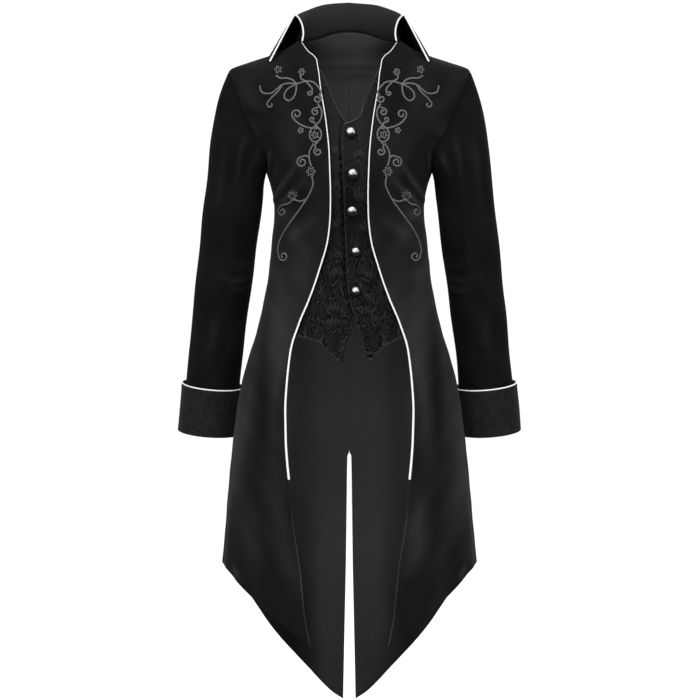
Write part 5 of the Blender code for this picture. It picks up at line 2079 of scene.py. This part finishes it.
@dataclass
class Piping:
    """Twisted cord sewn along the front edges, the collar's ends and the cuffs' top edges."""

    body: CoatBody
    sleeves: Sleeves
    collar: Collar
    wardrobe: Wardrobe
    at_neck: float = 0.0007
    at_end: float = 0.0022
    at_collar: float = 0.0017
    at_cuff: float = 0.0013
    step: float = 0.0006
    pitch: float = 0.0080
    sides: int = 18

    def front(self, side: Side) -> bpy.types.Object:
        """Build the cord down one front edge, thicker towards its lower end."""
        points, normals, away = self.body.edge_line(self.body.cord_end, self.step,
                                                    self.body.velvet_wall / 2, side)
        radius = np.linspace(self.at_neck, self.at_end, len(points))
        path = points + away * (radius + self.body.seam_gap)[:, None]
        strand = Strand(radius, self.sides, 3, self.pitch, tip=2.2 * MM)
        piece = build_strands(f"cord_front_{side.word}",
                              [(strand.surface(path, normals), self.sides)],
                              self.wardrobe.piping, side)
        return settle(piece, Slot.CORD, f"piping_front_{side.word}")

    def collar_end(self, side: Side) -> bpy.types.Object:
        """Build the cord up the stand's end and down the fall's end."""
        path, outward = self.collar.cord_line(self.at_collar, self.body.seam_gap, self.step)
        strand = Strand(self.at_collar, self.sides, 3, 0.8 * self.pitch)
        piece = build_strands(f"cord_collar_{side.word}",
                              [(strand.surface(path, outward), self.sides)],
                              self.wardrobe.piping, side)
        return settle(piece, Slot.CORD, f"piping_collar_{side.word}")

    def cuff(self, side: Side) -> bpy.types.Object:
        """Build the cord round one cuff's top edge."""
        path, outward = self.sleeves.cord_line(side, self.at_cuff)
        strand = Strand(self.at_cuff, self.sides, 3, 0.8 * self.pitch)
        piece = build_strands(f"cord_cuff_{side.word}",
                              [(strand.surface(path, outward, closed=True), self.sides)],
                              self.wardrobe.piping, side)
        return settle(piece, Slot.CORD, f"piping_cuff_{side.word}")

    def build(self) -> None:
        """Build the six cords."""
        for side in Side:
            self.front(side)
            self.collar_end(side)
            self.cuff(side)


# Embroidery


@dataclass(frozen=True)
class Curl:
    """Spiral at the end of a stem.

    Attributes:
        across: distance of its middle from the centre line.
        height: height of its middle.
        radius: its outer radius.
        start: angle where it starts, in degrees, 0 away from the centre line and 90 upwards.
        turns: how often it goes round, and below 0 the other way.
    """

    across: float
    height: float
    radius: float
    start: float
    turns: float

    def places(self) -> np.ndarray:
        """Places from the outside in: the radius shrinks evenly to a quarter over the turns."""
        t = np.linspace(0.0, 1.0, 16)
        angle = math.radians(self.start) + 2 * math.pi * self.turns * t
        radius = self.radius * (1 - 0.75 * t)
        return np.column_stack([self.across + radius * np.cos(angle),
                                self.height + radius * np.sin(angle)])


@dataclass(frozen=True)
class Flower:
    """Small flower drawn by its outline.

    Attributes:
        across: distance of its middle from the centre line.
        height: height of its middle.
        radius: reach of its petals.
        petals: their number, or 0 for a plain ring.
        narrow: its width as a share of its height.
    """

    across: float
    height: float
    radius: float
    petals: int = 5
    narrow: float = 1.0

    def places(self) -> np.ndarray:
        """Closed outline whose radius swells once for each petal, by a quarter either way."""
        angle = np.linspace(0.0, 2 * math.pi, 12 * max(self.petals, 3) + 1)
        swell = 0.26 * np.cos(self.petals * angle) if self.petals else 0.26
        radius = self.radius * (0.74 + swell)
        return np.column_stack([self.across + self.narrow * radius * np.cos(angle),
                                self.height + radius * np.sin(angle)])


@dataclass
class Embroidery:
    """Corded scrollwork on both chests, mirrored: stems that end in curls, and small flowers.

    Attributes:
        stems: lines of places (from the centre line, height), each with the curl at its end.
        flowers: flowers and rings.
        knots: middles of the French knots beside and in the flowers.
        width: half width of the twisted cord as sewn down.
        fine: half width of the thread that draws the flowers.
        flat: the cord's height as a share of its width.
        pitch: length of one twist.
    """

    body: CoatBody
    wardrobe: Wardrobe
    width: float = 0.0017
    fine: float = 0.0010
    flat: float = 0.55
    pitch: float = 0.0076
    step: float = 0.00065
    sides: int = 9
    stems: tuple = (
        (((0.0528, -0.0610), (0.0634, -0.0505), (0.0767, -0.0484), (0.0847, -0.0505),
          (0.0930, -0.0531)), None),
        (((0.0930, -0.0531), (0.0985, -0.0470), (0.1085, -0.0427), (0.1218, -0.0421),
          (0.1300, -0.0374)), None),
        (((0.0930, -0.0531), (0.1085, -0.0519), (0.1191, -0.0545), (0.1271, -0.0612),
          (0.1350, -0.0676), (0.1457, -0.0693), (0.1549, -0.0662), (0.1585, -0.0545)), None),
        (((0.1185, -0.0553), (0.1271, -0.0676), (0.1370, -0.0762)),
         Curl(0.1394, -0.0888, 0.0068, 60, -0.85)),
        (((0.0930, -0.0531), (0.0938, -0.0662), (0.0989, -0.0780), (0.1065, -0.0826),
          (0.1135, -0.0780), (0.1130, -0.0676), (0.1060, -0.0600), (0.0930, -0.0531)), None),
        (((0.0767, -0.0484), (0.0850, -0.0430), (0.0860, -0.0390), (0.0840, -0.0370)), None),
        (((0.0767, -0.0484), (0.0700, -0.0557), (0.0650, -0.0630)),
         Curl(0.0698, -0.0695, 0.0048, 150, 1.1)),
        (((0.0528, -0.0610), (0.0495, -0.0690)), Curl(0.0559, -0.0797, 0.0076, 120, 1.3)),
        (((0.0554, -0.0880), (0.0487, -0.1000), (0.0501, -0.1158), (0.0580, -0.1262)), None),
        (((0.0520, -0.0925), (0.0560, -0.0955)), Curl(0.0593, -0.1030, 0.0068, 90, -1.2)),
        (((0.0580, -0.1262), (0.0615, -0.1215)), Curl(0.0646, -0.1160, 0.0048, 280, 1.0)),
        (((0.0650, -0.1318), (0.0793, -0.1280), (0.0899, -0.1224), (0.0970, -0.1150)),
         Curl(0.0920, -0.1067, 0.0090, 315, 1.25)),
        (((0.0560, -0.1560), (0.0600, -0.1620)), Curl(0.0549, -0.1727, 0.0074, 60, -1.25)),
        (((0.0620, -0.1580), (0.0698, -0.1733), (0.0698, -0.1863), (0.0665, -0.1990)), None),
        (((0.0705, -0.1830), (0.0760, -0.1795)), Curl(0.0825, -0.1905, 0.0096, 95, -1.4)),
        (((0.0655, -0.2150), (0.0633, -0.2281), (0.0686, -0.2438), (0.0752, -0.2556),
          (0.0872, -0.2725), (0.1032, -0.2948), (0.1191, -0.3183), (0.1262, -0.3380),
          (0.1268, -0.3500)), Curl(0.1170, -0.3561, 0.0092, 20, -1.25)),
        (((0.0752, -0.2556), (0.0872, -0.2594), (0.0991, -0.2568), (0.1085, -0.2634),
          (0.1190, -0.2665)), Curl(0.1186, -0.2772, 0.0080, 50, -1.2)),
    )
    flowers: tuple = (
        Flower(0.1258, -0.0270, 0.0066), Flower(0.0838, -0.0315, 0.0060, 6),
        Flower(0.0593, -0.1425, 0.0130, 0, 0.80), Flower(0.0600, -0.1432, 0.0066, 5),
        Flower(0.0590, -0.1300, 0.0042, 5), Flower(0.0850, -0.1352, 0.0052, 5),
        Flower(0.0673, -0.2072, 0.0080, 6), Flower(0.0999, -0.2495, 0.0072, 6),
    )
    knots: tuple = (
        (0.1258, -0.0270), (0.0838, -0.0315), (0.0600, -0.1432), (0.0673, -0.2072),
        (0.0999, -0.2495), (0.0850, -0.1352), (0.0930, -0.2440),
        (0.1068, -0.2440), (0.0999, -0.2405), (0.0530, -0.1490), (0.0668, -0.1380),
    )

    def part(self, places: np.ndarray, width: float, side: Side) -> tuple:
        """Carry the cord along places on the velvet.

        Args:
            places: (from the centre line, height) of each place.
            width: half width of the cord.
            side: the wearer's side.

        Returns:
            The cord's surface and its sides.
        """
        line = self.body.surface.places(Path(places).even(self.step))
        points, normals = self.body.surface.layer(line[:, 0], line[:, 1], 0.0, side)
        path = points + normals * width * self.flat * 0.55
        strand = Strand(width, self.sides, 2, self.pitch, self.flat, 0.8 * MM)
        return strand.surface(path, normals), self.sides

    def build(self) -> None:
        """Build the scrollwork on both chests."""
        turn = np.linspace(0.0, 1.5 * math.pi, 8)
        knot = 0.0008 * np.column_stack([np.cos(turn), np.sin(turn)])
        for side in Side:
            parts = []
            for places, curl in self.stems:
                places = np.array(places)
                if curl:
                    places = np.vstack([places, curl.places()])
                parts.append(self.part(places, self.width, side))
            for flower in self.flowers:
                width = self.fine if flower.petals else self.width
                parts.append(self.part(flower.places(), width, side))
            for place in self.knots:
                parts.append(self.part(knot + np.array(place), self.fine, side))
            piece = build_strands(f"scrollwork_{side.word}", parts, self.wardrobe.thread, side)
            settle(piece, Slot.SATIN)


# Studio


@dataclass
class Studio:
    """Pale floor, soft light from all round and the camera.

    Attributes:
        pixel: size at the coat that one pixel of the 700 pixel wide picture covers.
        distance: from the camera to the coat's middle.
        rise: how far above the level the camera stands, in degrees.
        target: the place in the middle of the picture.
        floor: height of the floor, clear of the tails.
        floor_reach: half its width.
        sensor: width of the camera's sensor in millimetres.
        backdrop: brightness of the white that the camera sees.
        ambient: brightness of the soft light from all round.
        room: brightness of what shiny things reflect away from the softbox.
        softbox: direction of the softbox.
        softbox_light: its brightness.
    """

    pixel: float = 0.0018
    picture: int = 700
    distance: float = 5.0
    rise: float = 3.0
    target: tuple = (0.00126, 0.0, -0.5265)
    floor: float = -1.42
    floor_reach: float = 60.0
    sensor: float = 36.0
    backdrop: float = 1.05
    ambient: float = 0.60
    room: float = 0.05
    softbox: tuple = (-0.22, -0.66, 0.72)
    softbox_light: float = 3.2

    def build_camera(self) -> None:
        """Add the camera: the lens is the sensor times distance over the picture's width."""
        data = bpy.data.cameras.new("camera")
        data.sensor_width = self.sensor
        data.lens = self.sensor * self.distance / (self.pixel * self.picture)
        camera = bpy.data.objects.new("camera", data)
        lean = math.radians(self.rise)
        camera.location = (self.target[0], -self.distance * math.cos(lean),
                           self.target[2] + self.distance * math.sin(lean))
        camera.rotation_euler = (math.pi / 2 - lean, 0.0, 0.0)
        bpy.context.scene.collection.objects.link(camera)
        bpy.context.scene.camera = camera

    def build_floor(self) -> None:
        """Add a round floor as a grid of rings, wide enough to meet the sky."""
        rings = self.floor_reach * np.linspace(0.0, 1.0, 24)[1:] ** 2
        angle = np.linspace(0.0, 2 * math.pi, 64, endpoint=False)
        points = np.stack([rings[:, None] * np.cos(angle), rings[:, None] * np.sin(angle),
                           np.full((len(rings), 64), self.floor)], axis=-1)
        vertices = np.vstack([points.reshape(-1, 3), [[0.0, 0.0, self.floor]]])
        row, column = np.meshgrid(np.arange(len(rings) - 1), np.arange(64), indexing="ij")
        after = (column + 1) % 64
        faces = np.stack([row * 64 + column, (row + 1) * 64 + column, (row + 1) * 64 + after,
                          row * 64 + after], axis=-1).reshape(-1, 4).tolist()
        loop = np.arange(64)
        faces += np.column_stack([np.full(64, len(rings) * 64), loop, (loop + 1) % 64]).tolist()
        mesh = bpy.data.meshes.new("studio_floor")
        mesh.from_pydata(vertices.tolist(), [], faces)
        mesh.materials.append(StudioPaper().build())
        floor = bpy.data.objects.new("studio_floor", mesh)
        floor.visible_glossy = False
        bpy.context.scene.collection.objects.link(floor)

    def build_sky(self) -> None:
        """Add a white backdrop that lights the coat softly.

        Shiny things see a dark room with one bright softbox instead, up on the viewer's left.
        """
        scene = bpy.context.scene
        world = bpy.data.worlds.new("white_backdrop")
        world.use_nodes = True
        tree = world.node_tree
        rays = add_node(tree, "LightPath").outputs
        way = add_node(tree, "TexCoord").outputs["Generated"]
        facing = add_node(tree, "VectorMath", {0: way, 1: self.softbox},
                          operation="DOT_PRODUCT").outputs["Value"]
        glow = add_node(tree, "MapRange", {"Value": facing, "From Min": 0.50, "From Max": 0.78,
                                           "To Min": self.room, "To Max": self.softbox_light},
                        interpolation_type="SMOOTHSTEP").outputs[0]
        seen = add_node(tree, "Mix", {0: rays["Is Glossy Ray"], 2: self.ambient, 3: glow})
        whole = add_node(tree, "Mix", {0: rays["Is Camera Ray"], 2: seen.outputs[0],
                                       3: self.backdrop})
        tree.links.new(whole.outputs[0], tree.nodes["Background"].inputs["Strength"])
        tree.nodes["Background"].inputs["Color"].default_value = (1.0, 1.0, 1.0, 1.0)
        scene.world = world
        scene.view_settings.view_transform = "Standard"

    def build_light(self) -> None:
        """Add a soft sun that whitens the floor and models the folds, and two broad lamps."""
        scene = bpy.context.scene
        sun = bpy.data.lights.new("soft_sun", "SUN")
        sun.energy = 2.3
        sun.angle = math.radians(18)
        sun_lamp = bpy.data.objects.new("soft_sun", sun)
        sun_lamp.rotation_euler = (math.radians(38), 0.0, math.radians(-2))
        scene.collection.objects.link(sun_lamp)
        for name, place, turn, size, power in (
                ("key_lamp", (-2.2, -3.4, 1.4), (62, 0, -33), 1.6, 30.0),
                ("side_lamp", (2.6, -2.4, 0.6), (72, 0, 37), 1.8, 30.0),
                ("back_lamp", (1.6, 3.6, 1.6), (-60, 0, -24), 2.0, 45.0)):
            data = bpy.data.lights.new(name, "AREA")
            data.energy = power
            data.size = size
            lamp = bpy.data.objects.new(name, data)
            lamp.location = place
            lamp.rotation_euler = [math.radians(value) for value in turn]
            scene.collection.objects.link(lamp)

    def build(self) -> None:
        """Build the studio."""
        self.build_camera()
        self.build_floor()
        self.build_sky()
        self.build_light()


def main() -> None:
    """Build the studio and every piece of the coat."""
    logging.basicConfig(level=logging.INFO, format="%(name)s: %(message)s")
    Studio().build()
    wardrobe = Wardrobe.build()
    surface = BodySurface()
    body = CoatBody(surface, wardrobe)
    sleeves = Sleeves(body, wardrobe)
    collar = Collar(body, wardrobe)
    body.build()
    sleeves.build()
    collar.build()
    Waistcoat(body, wardrobe).build()
    Piping(body, sleeves, collar, wardrobe).build()
    Embroidery(body, wardrobe).build()


if __name__ == "__main__":
    main()
